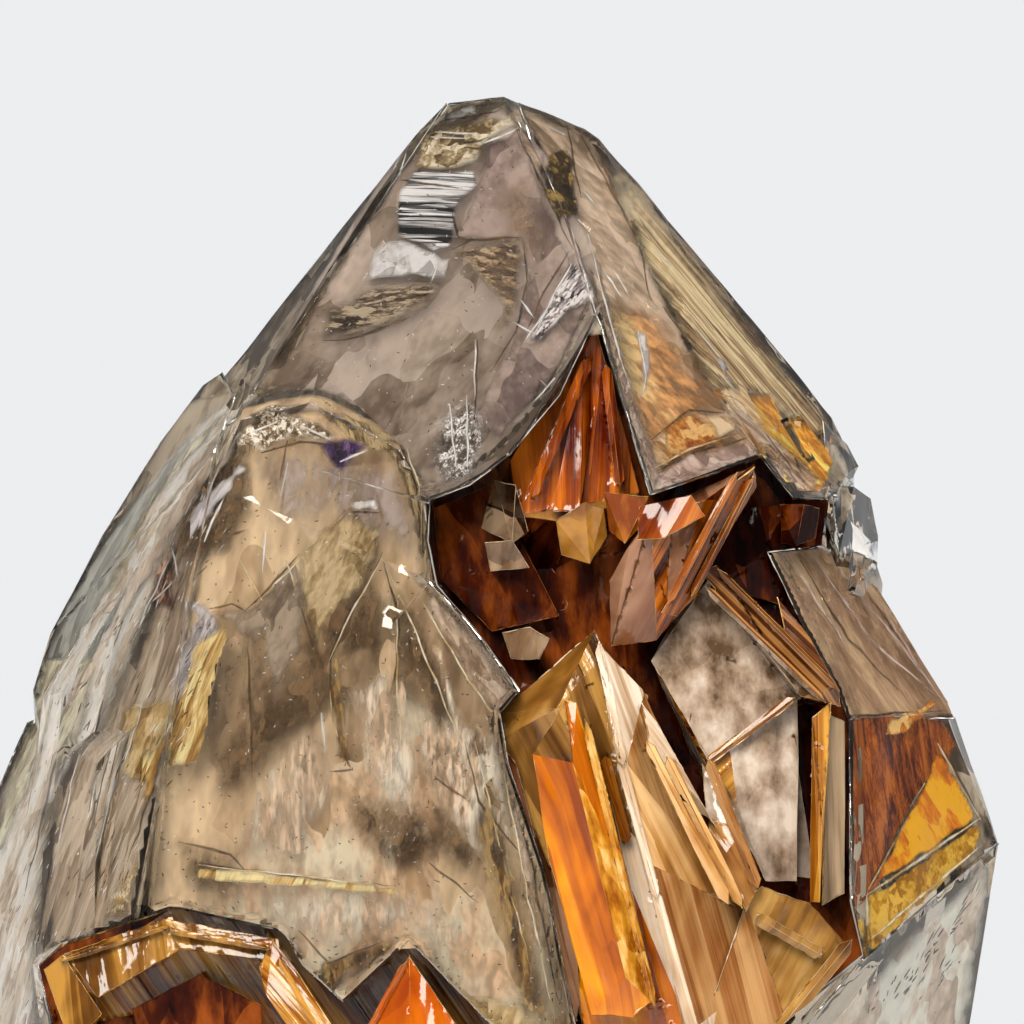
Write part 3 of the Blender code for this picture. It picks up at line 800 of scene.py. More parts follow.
@dataclass
class Scatter:
    """Small needles or flakes that are strewn on a sheet inside the point; the white ones are
    painted glints.

    Attributes:
        sheet: The sheet that they lie on, which doesn't stay.
        count: Number of them per square millimetre.
        length: Shortest and longest, in millimetres.
        width: Their width, in millimetres.
        lean: Lean of their length to the right, in degrees.
        stray: How far the lean strays, in degrees.
        seed: Seed of their places.
    """

    sheet: Veil
    count: float
    length: Spot
    width: float
    lean: float = 0.0
    stray: float = 90.0
    seed: int = 1

    def rule(self) -> bpy.types.NodeTree:
        """Builds the node group that strews the flakes.

        Returns:
            The group, with named inputs.
        """
        group = bpy.data.node_groups.new(f"{self.sheet.name}_rule", "GeometryNodeTree")
        group.is_modifier = True
        group.interface.new_socket("Sheet", in_out="INPUT", socket_type="NodeSocketGeometry")
        for name in ("Count", "Shortest", "Longest", "Width", "Lean From", "Lean To"):
            group.interface.new_socket(name, in_out="INPUT", socket_type="NodeSocketFloat")
        group.interface.new_socket("Seed", in_out="INPUT", socket_type="NodeSocketInt")
        group.interface.new_socket("Finish", in_out="INPUT", socket_type="NodeSocketMaterial")
        group.interface.new_socket("Flakes", in_out="OUTPUT", socket_type="NodeSocketGeometry")
        add = group.nodes.new
        given, result = add("NodeGroupInput"), add("NodeGroupOutput")
        strew = add("GeometryNodeDistributePointsOnFaces")
        flake = add("GeometryNodeMeshIcoSphere")
        put = add("GeometryNodeInstanceOnPoints")
        size, turn = add("ShaderNodeCombineXYZ"), add("ShaderNodeCombineXYZ")
        long, lean = add("FunctionNodeRandomValue"), add("FunctionNodeRandomValue")
        real, coat = add("GeometryNodeRealizeInstances"), add("GeometryNodeSetMaterial")
        flake.inputs["Subdivisions"].default_value = 1
        flake.inputs["Radius"].default_value = 0.5
        wires = (
            (given, "Sheet", strew, "Mesh"), (given, "Count", strew, "Density"),
            (given, "Seed", strew, "Seed"), (given, "Shortest", long, 2),
            (given, "Longest", long, 3), (given, "Seed", long, "Seed"),
            (given, "Lean From", lean, 2), (given, "Lean To", lean, 3),
            (given, "Width", size, "X"), (given, "Width", size, "Y"), (long, 1, size, "Z"),
            (lean, 1, turn, "Y"), (strew, "Points", put, "Points"),
            (flake, "Mesh", put, "Instance"), (size, "Vector", put, "Scale"),
            (turn, "Vector", put, "Rotation"), (put, "Instances", real, "Geometry"),
            (real, "Geometry", coat, "Geometry"), (given, "Finish", coat, "Material"),
            (coat, "Geometry", result, "Flakes"),
        )
        for source, out, target, into in wires:
            group.links.new(source.outputs[out], target.inputs[into])
        return group

    def make(self) -> bpy.types.Object:
        """Strews the flakes and keeps them as one plain mesh.

        Returns:
            The piece.
        """
        piece = self.sheet.sheet()
        group = self.rule()
        rule = piece.modifiers.new("strewn", "NODES")
        rule.node_group = group
        values = {
            "Count": self.count * PER_SQUARE_METRE,
            "Shortest": self.length[0] * MM,
            "Longest": self.length[1] * MM,
            "Width": self.width * MM,
            "Lean From": math.radians(self.lean - self.stray),
            "Lean To": math.radians(self.lean + self.stray),
            "Seed": self.seed,
            "Finish": self.sheet.finish.make(),
        }
        for socket in group.interface.items_tree:
            if socket.name in values:
                rule[socket.identifier] = values[socket.name]
        whole = piece.evaluated_get(bpy.context.evaluated_depsgraph_get())
        mesh = bpy.data.meshes.new_from_object(whole)
        piece.modifiers.remove(rule)
        piece.data = mesh
        return embed(piece)


def soften_edges(shape: bmesh.types.BMesh, width: float) -> list[bmesh.types.BMFace]:
    """Gives the sharp outer edges of a shape a narrow flat.

    Args:
        shape: The shape, in metres.
        width: Width of the flat, in millimetres.

    Returns:
        The new narrow faces.
    """
    sharp = math.radians(16)
    edges = [edge for edge in shape.edges if edge.is_convex and edge.calc_face_angle(0.0) > sharp]
    made = bmesh.ops.bevel(
        shape, geom=edges, offset=width * MM, segments=1, profile=0.5, affect="EDGES",
        clamp_overlap=True)
    return made["faces"]


def refine(shape: bmesh.types.BMesh, cell: float) -> None:
    """Divides a shape's facets into small triangles, and keeps its edges sharp.

    Args:
        shape: The shape, in metres.
        cell: Longest side of a triangle, in millimetres.
    """
    bmesh.ops.triangulate(shape, faces=shape.faces)
    for _ in range(8):
        long_edges = [edge for edge in shape.edges if edge.calc_length() > cell * MM]
        if not long_edges:
            break
        bmesh.ops.subdivide_edges(shape, edges=long_edges, cuts=1)
        bmesh.ops.triangulate(shape, faces=[face for face in shape.faces if len(face.verts) > 3])
    sharp = math.radians(9)
    for edge in shape.edges:
        edge.smooth = edge.calc_face_angle(0.0) < sharp
    for face in shape.faces:
        face.smooth = True


def ridge(place: Vector, lean: float, across: float, along: float) -> float:
    """Gives the height of growth ridges, from 0 to 1, at a place in millimetres.

    Args:
        place: The place, in millimetres.
        lean: Lean of the ridges to the right, in degrees.
        across: Width of a ridge.
        along: Length of a ridge.

    Returns:
        The height.
    """
    turn = math.radians(lean)
    aside = place.x * math.cos(turn) - place.z * math.sin(turn)
    above = place.x * math.sin(turn) + place.z * math.cos(turn)
    spot = Vector((aside / across, 0.6 * place.y / across, above / along))
    height = noise.noise(spot) + 0.5 * noise.noise(2.3 * spot + Vector((3.0, 1.0, 7.0)))
    return max(0.0, min(1.0, 0.5 + 0.8 * height))


@dataclass
class ClearPoint:
    """The clear point itself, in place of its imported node.

    Attributes:
        finish: Its material.
        edge: Width of its worn edges, in millimetres.
        cell: Size of its mesh cells, in millimetres.
        ripple: Height of its growth ripples, in millimetres.
    """

    finish: ClearFinish = ClearFinish("smoky_clear", (0.50, 0.38, 0.20), 42.0)
    edge: float = 0.10
    cell: float = 0.9
    ripple: float = 0.09

    def make(self) -> bpy.types.Object:
        """Builds the clear piece.

        Returns:
            The clear piece.
        """
        shape = whole_facets("crystal_point")
        soften_edges(shape, self.edge)
        refine(shape, self.cell)
        shape.normal_update()
        for vert in shape.verts:
            if vert.co.z > 0.2 * MM:
                height = ridge(vert.co / MM, 12.0, 2.2, 9.0)
                vert.co -= self.ripple * height * MM * vert.normal
        piece = place_mesh("clear_body", shape)
        piece.data.materials.append(self.finish.make())
        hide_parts("crystal_point")
        return embed(piece)


@dataclass(frozen=True)
class Zone:
    """The facets of a crust that belong to one crystal.

    Attributes:
        outline: Outline of the crystal from the front, in millimetres.
        finish: Its material.
        lean: Lean of its streaks to the right, in degrees.
        rim: Material of its bevelled edges, mostly a paler finish that is a painted edge highlight.
        behind: Greatest depth of its facets, in millimetres.
    """

    outline: Outline
    finish: GoldFinish
    lean: float = 0.0
    rim: GoldFinish | None = None
    behind: float = -8.2


@dataclass
class Crust:
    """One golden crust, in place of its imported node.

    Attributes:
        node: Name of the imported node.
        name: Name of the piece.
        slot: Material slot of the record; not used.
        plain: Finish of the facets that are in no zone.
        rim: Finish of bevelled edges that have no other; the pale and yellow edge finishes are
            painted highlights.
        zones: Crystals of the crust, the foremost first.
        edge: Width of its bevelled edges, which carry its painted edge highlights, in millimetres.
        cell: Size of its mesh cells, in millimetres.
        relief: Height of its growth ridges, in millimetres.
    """

    node: str
    name: str
    slot: str
    plain: GoldFinish
    rim: GoldFinish
    zones: tuple[Zone, ...]
    edge: float = 0.06
    cell: float = 0.34
    relief: float = 0.10

    def zone_of(self, spot: Vector) -> int:
        """Finds the zone of a facet by its middle, in metres, or -1."""
        for number, zone in enumerate(self.zones):
            if spot.y / MM < zone.behind and inside(zone.outline, spot.x / MM, spot.z / MM) > 0:
                return number
        return -1

    def make(self) -> bpy.types.Object:
        """Builds the crust with one finish for each of its crystals.

        Returns:
            The crust piece.
        """
        shape = whole_facets(self.node)
        crystal = shape.faces.layers.int.new("crystal")
        for face in shape.faces:
            face[crystal] = self.zone_of(face.calc_center_median())
        plain = Zone((), self.plain)
        finishes = [self.plain, self.rim]
        for zone in self.zones:
            finishes += [zone.finish] + ([zone.rim] if zone.rim else [])
        finishes = list(dict.fromkeys(finishes))
        # The new edge faces take the zone's edge finish, mostly a painted edge highlight.
        for face in soften_edges(shape, self.edge):
            zone = self.zones[face[crystal]] if face[crystal] >= 0 else plain
            face.material_index = finishes.index(zone.rim or self.rim)
        refine(shape, self.cell)
        streak = shape.loops.layers.uv.new(STREAK_MAP)
        shape.normal_update()
        leans = {}
        for face in shape.faces:
            zone = self.zones[face[crystal]] if face[crystal] >= 0 else plain
            face.material_index = face.material_index or finishes.index(zone.finish)
            turn = Matrix.Rotation(math.radians(zone.lean), 2)
            for loop in face.loops:
                place = loop.vert.co
                loop[streak].uv = turn @ Vector((place.x + 0.6 * place.y, place.z))
                leans[loop.vert] = zone.lean
        moves = {vert: ridge(vert.co / MM, lean, 0.7, 7.0) for vert, lean in leans.items()}
        for vert, height in moves.items():
            vert.co -= self.relief * height * MM * vert.normal
        piece = place_mesh(self.name, shape)
        for finish in finishes:
            piece.data.materials.append(finish.make())
        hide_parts(self.node)
        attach(piece, BODY)
        return piece


@dataclass
class Studio:
    """Pale floor, soft light and the camera of the front view.

    Attributes:
        picture_middle: Height of the picture's middle over the foot, in millimetres.
        picture_width: Width of the picture at the front faces, in millimetres.
        front_depth: Depth of the front faces, in millimetres.
        lens: Focal length, in millimetres.
        sensor: Sensor width, in millimetres.
        pale: Colour of the floor.
        warm: Colour of the lamps.
    """

    picture_middle: float = 45.6
    picture_width: float = 51.2
    front_depth: float = -8.0
    lens: float = 600.0
    sensor: float = 36.0
    pale: Colour = (0.84, 0.855, 0.87)
    warm: Colour = (1.0, 0.94, 0.85)

    def camera(self) -> None:
        """Sets up the level front camera."""
        data = bpy.data.cameras.new("front_camera")
        data.lens = self.lens
        data.sensor_width = self.sensor
        data.clip_start = 0.05
        data.clip_end = 20.0
        camera = bpy.data.objects.new("front_camera", data)
        away = self.picture_width * self.lens / self.sensor
        camera.location = (0.0, (self.front_depth - away) * MM, self.picture_middle * MM)
        camera.rotation_euler = (math.radians(90), 0.0, 0.0)
        bpy.context.scene.collection.objects.link(camera)
        bpy.context.scene.camera = camera

    def floor(self) -> None:
        """Lays the round pale floor."""
        shape = bmesh.new()
        bmesh.ops.create_circle(shape, cap_ends=True, segments=96, radius=0.42)
        floor = place_mesh("floor", shape)
        tree = Tree("pale_floor")
        tree.shader.inputs["Base Color"].default_value = (*self.pale, 1.0)
        tree.shader.inputs["Roughness"].default_value = 0.9
        floor.data.materials.append(tree.material)

    def sky(self) -> None:
        """Sets the pale surroundings, darker between horizon and overhead light."""
        world = bpy.data.worlds.new("studio")
        bpy.context.scene.world = world
        world.use_nodes = True
        nodes, links = world.node_tree.nodes, world.node_tree.links
        spot = nodes.new("ShaderNodeTexCoord")
        split = nodes.new("ShaderNodeSeparateXYZ")
        ramp = nodes.new("ShaderNodeValToRGB")
        span = nodes.new("ShaderNodeMapRange")
        span.inputs["From Min"].default_value = -1.0
        elements = ramp.color_ramp.elements
        stops = (
            (0.0, 0.40), (0.46, 0.855), (0.55, 0.855), (0.61, 0.20), (0.80, 0.15), (0.96, 0.22))
        while len(elements) < len(stops):
            elements.new(0.5)
        for element, (place, level) in zip(elements, stops):
            element.position = place
            element.color = (level * 0.985, level * 0.995, level * 1.01, 1.0)
        links.new(spot.outputs["Generated"], split.inputs["Vector"])
        links.new(split.outputs["Z"], span.inputs["Value"])
        links.new(span.outputs["Result"], ramp.inputs["Fac"])
        links.new(ramp.outputs["Color"], nodes["Background"].inputs["Color"])
        nodes["Background"].inputs["Strength"].default_value = 1.0

    def lamp(self, name: str, place: Colour, size: float, power: float) -> None:
        """Hangs a soft square lamp that faces the point.

        Args:
            name: Name of the lamp.
            place: Its place in metres.
            size: Its width in metres.
            power: Its power in watts.
        """
        data = bpy.data.lights.new(name, "AREA")
        data.size = size
        data.energy = power
        data.color = self.warm
        lamp = bpy.data.objects.new(name, data)
        lamp.location = place
        aim = Vector((0.0, 0.0, 0.04)) - Vector(place)
        lamp.rotation_euler = aim.to_track_quat("-Z", "Y").to_euler()
        bpy.context.scene.collection.objects.link(lamp)

    def make(self) -> None:
        """Sets up the whole studio."""
        scene = bpy.context.scene
        scene.view_settings.view_transform = "Standard"
        scene.cycles.max_bounces = 7
        scene.cycles.diffuse_bounces = 1
        scene.cycles.glossy_bounces = 2
        scene.cycles.transmission_bounces = 6
        scene.cycles.caustics_reflective = False
        scene.cycles.use_light_tree = False
        self.camera()
        self.floor()
        self.sky()
        self.lamp("key_lamp", (-0.16, -0.55, 0.42), 0.36, 8.2)
        self.lamp("side_lamp", (0.30, -0.10, 0.62), 0.30, 3.6)


MIST = VeilFinish("left_mist", (0.165, 0.116, 0.081), (0.363, 0.286, 0.232), (0.55, 0.451, 0.389),
    (90.0, 45.0), 20.0, seed=3.0, crisp=0.25)
# The black stripes are a real fracture; the white stripes are a painted reflection in it.
STRIPES = VeilFinish("black_stripes", (0.01, 0.01, 0.012), (0.16, 0.15, 0.155), (0.86, 0.85, 0.86),
    (60.0, 1500.0), 4.0, seed=1.0, stops=(0.45, 0.5, 0.56), crisp=0.12, warp=0.1, least=0.95)
PALE_CHIP = VeilFinish("pale_chip", (0.4, 0.38, 0.38), (0.6, 0.57, 0.57), (0.8, 0.78, 0.79),
    (200.0, 150.0), seed=6.0, least=0.95)
GREY_CAP = VeilFinish("grey_cap", (0.11, 0.105, 0.1), (0.23, 0.215, 0.2), (0.44, 0.42, 0.4),
    (200.0, 150.0), seed=6.3, least=0.9)
OLIVE_GLOSS = VeilFinish("olive_gloss", (0.1, 0.06, 0.02), (0.38, 0.28, 0.15), (0.8, 0.72, 0.56),
    (260.0, 340.0), -10.0, seed=1.7, least=0.85)
BLACK_FEATHER = VeilFinish("black_feather", (0.018, 0.01, 0.004), (0.12, 0.08, 0.05),
    (0.46, 0.37, 0.26), (260.0, 1300.0), -4.0, seed=2.0, warp=1.2, least=0.8,
    stops=(0.42, 0.51, 0.6))
BROWN_FEATHER = VeilFinish("brown_feather", (0.06, 0.03, 0.012), (0.22, 0.14, 0.075),
    (0.5, 0.37, 0.24), (300.0, 900.0), 15.0, seed=5.0, warp=1.2, least=0.6, stops=(0.42, 0.5, 0.6))
LILAC_PLATE = VeilFinish("lilac_plate", (0.154, 0.105, 0.095), (0.292, 0.215, 0.19),
    (0.462, 0.357, 0.31), (110.0, 60.0), -20.0, seed=8.0, least=0.85)
AMBER_GLOW = VeilFinish("amber_glow", (0.24, 0.14, 0.08), (0.38, 0.24, 0.14), (0.52, 0.36, 0.23),
    (160.0, 90.0), 0.0, seed=8.6, least=0.3, most=0.85)
SILVER_LINES = VeilFinish("silver_lines", (0.03, 0.025, 0.03), (0.28, 0.23, 0.23),
    (0.84, 0.8, 0.8), (1800.0, 24.0), 27.0, seed=4.0, stops=(0.42, 0.5, 0.57), crisp=0.1, warp=0.1,
    least=0.9)
FROST = VeilFinish("frost", (0.06, 0.045, 0.035), (0.34, 0.29, 0.26), (0.92, 0.9, 0.88),
    (900.0, 600.0), 0.0, seed=9.0, stops=(0.42, 0.5, 0.57), least=0.3)
SUGAR = VeilFinish("sugar", (0.07, 0.04, 0.015), (0.4, 0.31, 0.21), (0.95, 0.9, 0.82),
    (900.0, 800.0), 0.0, seed=9.4, stops=(0.42, 0.5, 0.57), least=0.8)
HAZE = VeilFinish("right_haze", (0.23, 0.158, 0.099), (0.513, 0.382, 0.271), (0.81, 0.633, 0.488),
    (150.0, 40.0), -28.0, seed=2.5)
LENS = VeilFinish("brown_lens", (0.008, 0.004, 0.001), (0.05, 0.026, 0.004), (0.34, 0.22, 0.06),
    (420.0, 260.0), 10.0, seed=7.0, stops=(0.42, 0.54, 0.64), least=0.95)
PEACH = VeilFinish("peach_glow", (0.377, 0.175, 0.0604), (0.812, 0.403, 0.153),
    (0.97, 0.699, 0.33), (160.0, 80.0), -28.0, seed=1.4, least=0.6, crisp=0.2, broken=0.1)
ORANGE_BLOB = VeilFinish("orange_blob", (0.24, 0.05, 0.004), (0.56, 0.21, 0.03), (0.8, 0.48, 0.18),
    (300.0, 240.0), 0.0, seed=3.3, least=0.9)
LILAC_BORDER = VeilFinish("lilac_border", (0.3, 0.19, 0.15), (0.52, 0.36, 0.3), (0.72, 0.56, 0.5),
    (200.0, 60.0), -28.0, seed=6.1, least=0.85)
BEIGE_STREAKS = VeilFinish("beige_streaks", (0.2, 0.11, 0.0405), (0.6, 0.396, 0.198),
    (0.97, 0.792, 0.468), (900.0, 45.0), -41.0, seed=6.6, crisp=0.2, stops=(0.4, 0.49, 0.58))
SHOULDER_GOLD = VeilFinish("shoulder_gold", (0.45, 0.17, 0.012), (0.95, 0.42, 0.05),
    (0.97, 0.82, 0.2), (420.0, 120.0), -41.0, seed=4.4, stops=(0.4, 0.49, 0.59), least=0.95)
LILAC_FLANK = VeilFinish("lilac_flank", (0.26, 0.15, 0.08), (0.44, 0.27, 0.16), (0.72, 0.5, 0.3),
    (600.0, 34.0), -46.0, seed=5.5, least=0.95, crisp=0.15, broken=0.1, stops=(0.36, 0.48, 0.62))
SMOKE = VeilFinish("wall_smoke", (0.2, 0.115, 0.05), (0.57, 0.385, 0.22), (0.95, 0.72, 0.46),
    (75.0, 34.0), 4.0, seed=0.5, stops=(0.34, 0.47, 0.62), broken=0.12)
# Painted shade: dark brown sheets put where the wall's folds and grooves, and a gap in the rim, lie
# in shade.
SHADOW = VeilFinish("brown_shadow", (0.045, 0.02, 0.005), (0.115, 0.06, 0.02), (0.26, 0.155, 0.07),
    (200.0, 110.0), 10.0, seed=2.2, least=0.45, most=0.85)
BACKING = VeilFinish("smoky_depth", (0.091, 0.064, 0.0384), (0.286, 0.224, 0.156),
    (0.65, 0.55, 0.42), (120.0, 50.0), 14.0, seed=5.1, least=0.9, broken=0.25)
NEEDLE = VeilFinish("black_needle", (0.008, 0.005, 0.004), (0.03, 0.02, 0.015), (0.1, 0.07, 0.05),
    (300.0, 100.0), least=1.0)
MILKY = VeilFinish("milky_root", (0.4, 0.33, 0.26), (0.62, 0.55, 0.46), (0.84, 0.79, 0.72),
    (90.0, 90.0), seed=5.7, least=0.7, broken=0.1)
BLADE_GOLD = VeilFinish("golden_blade", (0.42, 0.2, 0.05), (0.7, 0.44, 0.2), (0.92, 0.74, 0.48),
    (420.0, 60.0), -60.0, seed=6.1, least=0.95)
FINGER = VeilFinish("lilac_finger", (0.24, 0.14, 0.08), (0.5, 0.35, 0.25), (0.78, 0.64, 0.52),
    (500.0, 50.0), -42.0, seed=6.3, least=0.95)
AMBER_GAP = VeilFinish("amber_gap", (0.05, 0.018, 0.002), (0.2, 0.1, 0.02), (0.46, 0.3, 0.11),
    (420.0, 90.0), -10.0, seed=6.5, least=0.7)
LENS_TAN = VeilFinish("tan_lens", (0.3, 0.14, 0.04), (0.58, 0.36, 0.18), (0.84, 0.64, 0.42),
    (300.0, 120.0), -50.0, seed=6.7, least=0.9)
LILAC_VEIL = VeilFinish("lilac_veil", (0.16, 0.11, 0.105), (0.34, 0.26, 0.235), (0.56, 0.46, 0.43),
    (120.0, 50.0), 6.0, seed=6.9, least=0.25, most=0.75)
# Painted shade: a soft dark sheet that stands for shade over the middle of the wall and in its
# grooves.
SHADE_GROUND = VeilFinish("shade_ground", (0.07, 0.035, 0.012), (0.19, 0.11, 0.05),
    (0.4, 0.27, 0.15), (110.0, 60.0), 12.0, seed=3.6, least=0.7, most=0.98, crisp=0.25)
PALE_GROUND = VeilFinish("pale_ground", (0.6, 0.385, 0.215), (0.95, 0.67, 0.43),
    (0.97, 0.84, 0.62), (120.0, 60.0), -8.0, seed=3.1, least=0.7, most=0.98, broken=0.12,
    crisp=0.25)
GOLD_MIST = VeilFinish("gold_mist", (0.34, 0.19, 0.06), (0.6, 0.4, 0.16), (0.84, 0.66, 0.38),
    (200.0, 90.0), 20.0, seed=2.2, least=0.85)
GREY_GLASS = VeilFinish("grey_glass", (0.21, 0.21, 0.189), (0.364, 0.364, 0.336),
    (0.588, 0.588, 0.546), (300.0, 20.0), 32.0, seed=1.2, crisp=0.2, least=0.9)
OLIVE_PALE = VeilFinish("olive_pale", (0.312, 0.26, 0.163), (0.624, 0.572, 0.425),
    (0.936, 0.897, 0.725), (600.0, 26.0), 34.0, seed=1.5, crisp=0.2, least=0.9)
LILAC_RIM = VeilFinish("lilac_rim", (0.378, 0.286, 0.213), (0.608, 0.494, 0.4),
    (0.837, 0.728, 0.613), (300.0, 20.0), 33.0, seed=1.8, crisp=0.2, least=0.9)
CREASE = VeilFinish("dark_crease", (0.012, 0.004, 0.001), (0.05, 0.02, 0.005), (0.16, 0.08, 0.025),
    (600.0, 200.0), 10.0, seed=2.7, least=0.9)
PALE_STREAK = VeilFinish("pale_streak", (0.62, 0.44, 0.29), (0.92, 0.69, 0.49), (0.97, 0.86, 0.7),
    (260.0, 40.0), -4.0, seed=4.9, least=0.3, most=0.95, crisp=0.25)
PALE_PINK = VeilFinish("pale_pink", (0.3, 0.19, 0.12), (0.52, 0.37, 0.26), (0.74, 0.58, 0.45),
    (260.0, 60.0), -36.0, seed=4.1, least=0.7, most=0.98)
LEAF = VeilFinish("tan_leaf", (0.22, 0.137, 0.05), (0.418, 0.294, 0.14), (0.638, 0.483, 0.28),
    (260.0, 110.0), 24.0, seed=5.8, least=0.85)
GREY_LEAF = VeilFinish("grey_leaf", (0.158, 0.11, 0.076), (0.284, 0.21, 0.147),
    (0.462, 0.36, 0.266), (220.0, 90.0), 20.0, seed=6.8, least=0.85)
OLIVE_BAND = VeilFinish("olive_band", (0.06, 0.03, 0.008), (0.22, 0.145, 0.06), (0.48, 0.36, 0.19),
    (900.0, 90.0), -20.0, seed=7.2, least=0.95)
# Painted highlight: near-white glints, sparkles and short bright lines that stand for light caught
# by cracks and flakes inside the point.
GLINT = VeilFinish("white_glint", (0.7, 0.66, 0.62), (0.86, 0.84, 0.82), (0.98, 0.97, 0.96),
    (300.0, 100.0), 0.0, seed=7.9, least=0.9)
LILAC_BAR = VeilFinish("lilac_bar", (0.3, 0.26, 0.25), (0.46, 0.42, 0.43), (0.66, 0.62, 0.64),
    (600.0, 60.0), 38.0, seed=8.2, least=0.9)
RED_SPOT = VeilFinish("red_spot", (0.05, 0.012, 0.004), (0.24, 0.115, 0.07), (0.52, 0.34, 0.25),
    (420.0, 300.0), 0.0, seed=8.5, least=0.9, stops=(0.4, 0.5, 0.58))
PURPLE = VeilFinish("purple_patch", (0.014, 0.003, 0.035), (0.05, 0.018, 0.1), (0.2, 0.12, 0.22),
    (420.0, 300.0), 0.0, seed=1.9, least=0.9)
STRAW = VeilFinish("straw", (0.325, 0.161, 0.0285), (0.75, 0.483, 0.171), (0.97, 0.828, 0.418),
    (420.0, 60.0), 24.0, seed=3.8, least=0.85, stops=(0.38, 0.48, 0.58))
GRAINS = VeilFinish("golden_grains", (0.22, 0.1, 0.01), (0.56, 0.33, 0.06), (0.92, 0.8, 0.56),
    (900.0, 700.0), 24.0, seed=4.8, least=0.5, stops=(0.42, 0.5, 0.57))
RIM_GREY = VeilFinish("rim_grey", (0.42, 0.34, 0.26), (0.76, 0.65, 0.53), (0.95, 0.93, 0.9),
    (600.0, 24.0), 32.0, seed=7.7, stops=(0.37, 0.48, 0.59), crisp=0.2, broken=0.2)
RIM_BROWN = VeilFinish("rim_brown", (0.22, 0.15, 0.095), (0.42, 0.32, 0.23), (0.66, 0.55, 0.43),
    (420.0, 40.0), 24.0, seed=8.8, stops=(0.38, 0.48, 0.6), crisp=0.18, broken=0.2)
BROWN_FIBRES = VeilFinish("brown_fibres", (0.0618, 0.00788, 0.00025), (0.272, 0.0551, 0.003),
    (0.543, 0.15, 0.0125), (1500.0, 30.0), 3.0, seed=9.9, least=0.97, crisp=0.25, broken=0.06)
GOLD_PANEL = VeilFinish("gold_panel", (0.492, 0.103, 0.00036), (0.82, 0.24, 0.0012),
    (0.97, 0.479, 0.012), (200.0, 80.0), -48.0, seed=1.1, least=0.97)
YELLOW_BAND = VeilFinish("yellow_band", (0.367, 0.153, 0.002), (0.626, 0.306, 0.006),
    (0.864, 0.527, 0.07), (420.0, 50.0), 48.0, seed=2.1, least=0.97)
# Painted highlight: cream lines that stand for light along edges and fold ridges.
CREAM_HIGHLIGHT = VeilFinish("cream_highlight_line", (0.6, 0.4, 0.16), (0.84, 0.68, 0.4), (0.97, 0.9, 0.72),
    (200.0, 100.0), 0.0, seed=2.9, least=0.9)
DARK_RIM = VeilFinish("dark_rim", (0.01, 0.006, 0.003), (0.04, 0.024, 0.01), (0.16, 0.11, 0.06),
    (420.0, 90.0), -20.0, seed=3.9, least=0.9)
ORANGE_FACET = VeilFinish("orange_facet", (0.34, 0.08, 0.003), (0.68, 0.24, 0.02),
    (0.92, 0.58, 0.2), (300.0, 90.0), 60.0, seed=4.1, least=0.9)
FOOT_PALE = VeilFinish("foot_pale", (0.497, 0.373, 0.275), (0.807, 0.66, 0.535),
    (0.97, 0.97, 0.865), (120.0, 60.0), 42.0, seed=5.1)

FAN = GoldFinish("fan_gold", (0.0676, 0.00538, 0.00036), (0.241, 0.0417, 0.00144),
    (0.58, 0.148, 0.0072), (1900.0, 70.0), seed=1.0)
RED = GoldFinish("red_floor", (0.006, 0.0005, 0.0003), (0.036, 0.005, 0.0007),
    (0.19, 0.042, 0.005), (900.0, 300.0), seed=2.0, clear=0.0, gloss=0.08)
RUST = GoldFinish("rust_floor", (0.2, 0.03, 0.003), (0.7, 0.22, 0.018), (0.97, 0.56, 0.08),
    (900.0, 200.0), seed=2.3, clear=0.0, gloss=0.12)
WINDOW = GoldFinish("grey_window", (0.016, 0.005, 0.0014), (0.065, 0.032, 0.013),
    (0.225, 0.15, 0.09), (700.0, 420.0), seed=3.0, clear=0.2, gloss=0.04, broken=0.3,
    stops=(0.42, 0.5, 0.58))
TOOTH = GoldFinish("green_tooth", (0.0478, 0.0114, 0.00048), (0.167, 0.057, 0.0048),
    (0.335, 0.152, 0.0216), (500.0, 400.0), seed=4.0, clear=0.1)
YELLOW = GoldFinish("yellow_tooth", (0.165, 0.03, 0.001), (0.375, 0.114, 0.005),
    (0.6, 0.276, 0.035), (700.0, 220.0), seed=5.0)
UMBER = GoldFinish("umber_point", (0.0289, 0.00598, 0.00168), (0.133, 0.049, 0.0202),
    (0.266, 0.136, 0.0784), (900.0, 110.0), seed=6.0, clear=0.1, cloudy=0.62)
EDGE = GoldFinish("edge_bar", (0.0246, 0.00337, 8.75e-05), (0.172, 0.0365, 0.00105),
    (0.444, 0.129, 0.0105), (3200.0, 22.0), seed=7.0, stops=(0.41, 0.5, 0.59), cloudy=0.4)
COPPER = GoldFinish("copper_bar", (0.0136, 0.0022, 0.00055), (0.105, 0.0303, 0.00605),
    (0.347, 0.16, 0.0495), (3400.0, 22.0), seed=8.0, stops=(0.41, 0.5, 0.59), cloudy=0.4)
LENS_GOLD = GoldFinish("orange_lens", (0.105, 0.013, 0.0006), (0.33, 0.0715, 0.0048),
    (0.6, 0.247, 0.048), (1200.0, 60.0), seed=9.0)
CLOUD = GoldFinish("cloudy_pane", (0.085, 0.045, 0.018), (0.33, 0.235, 0.165), (0.62, 0.52, 0.43),
    (760.0, 520.0), seed=10.0, clear=0.15, ridge=0.1, broken=0.05)
POST = GoldFinish("gold_post", (0.0642, 0.0105, 0.0003), (0.229, 0.0702, 0.0036),
    (0.514, 0.252, 0.036), (2600.0, 30.0), seed=11.0, cloudy=0.4)
GREY = GoldFinish("grey_strip", (0.0498, 0.0263, 0.0105), (0.158, 0.0975, 0.049),
    (0.349, 0.247, 0.147), (1500.0, 50.0), seed=12.0, clear=0.15)
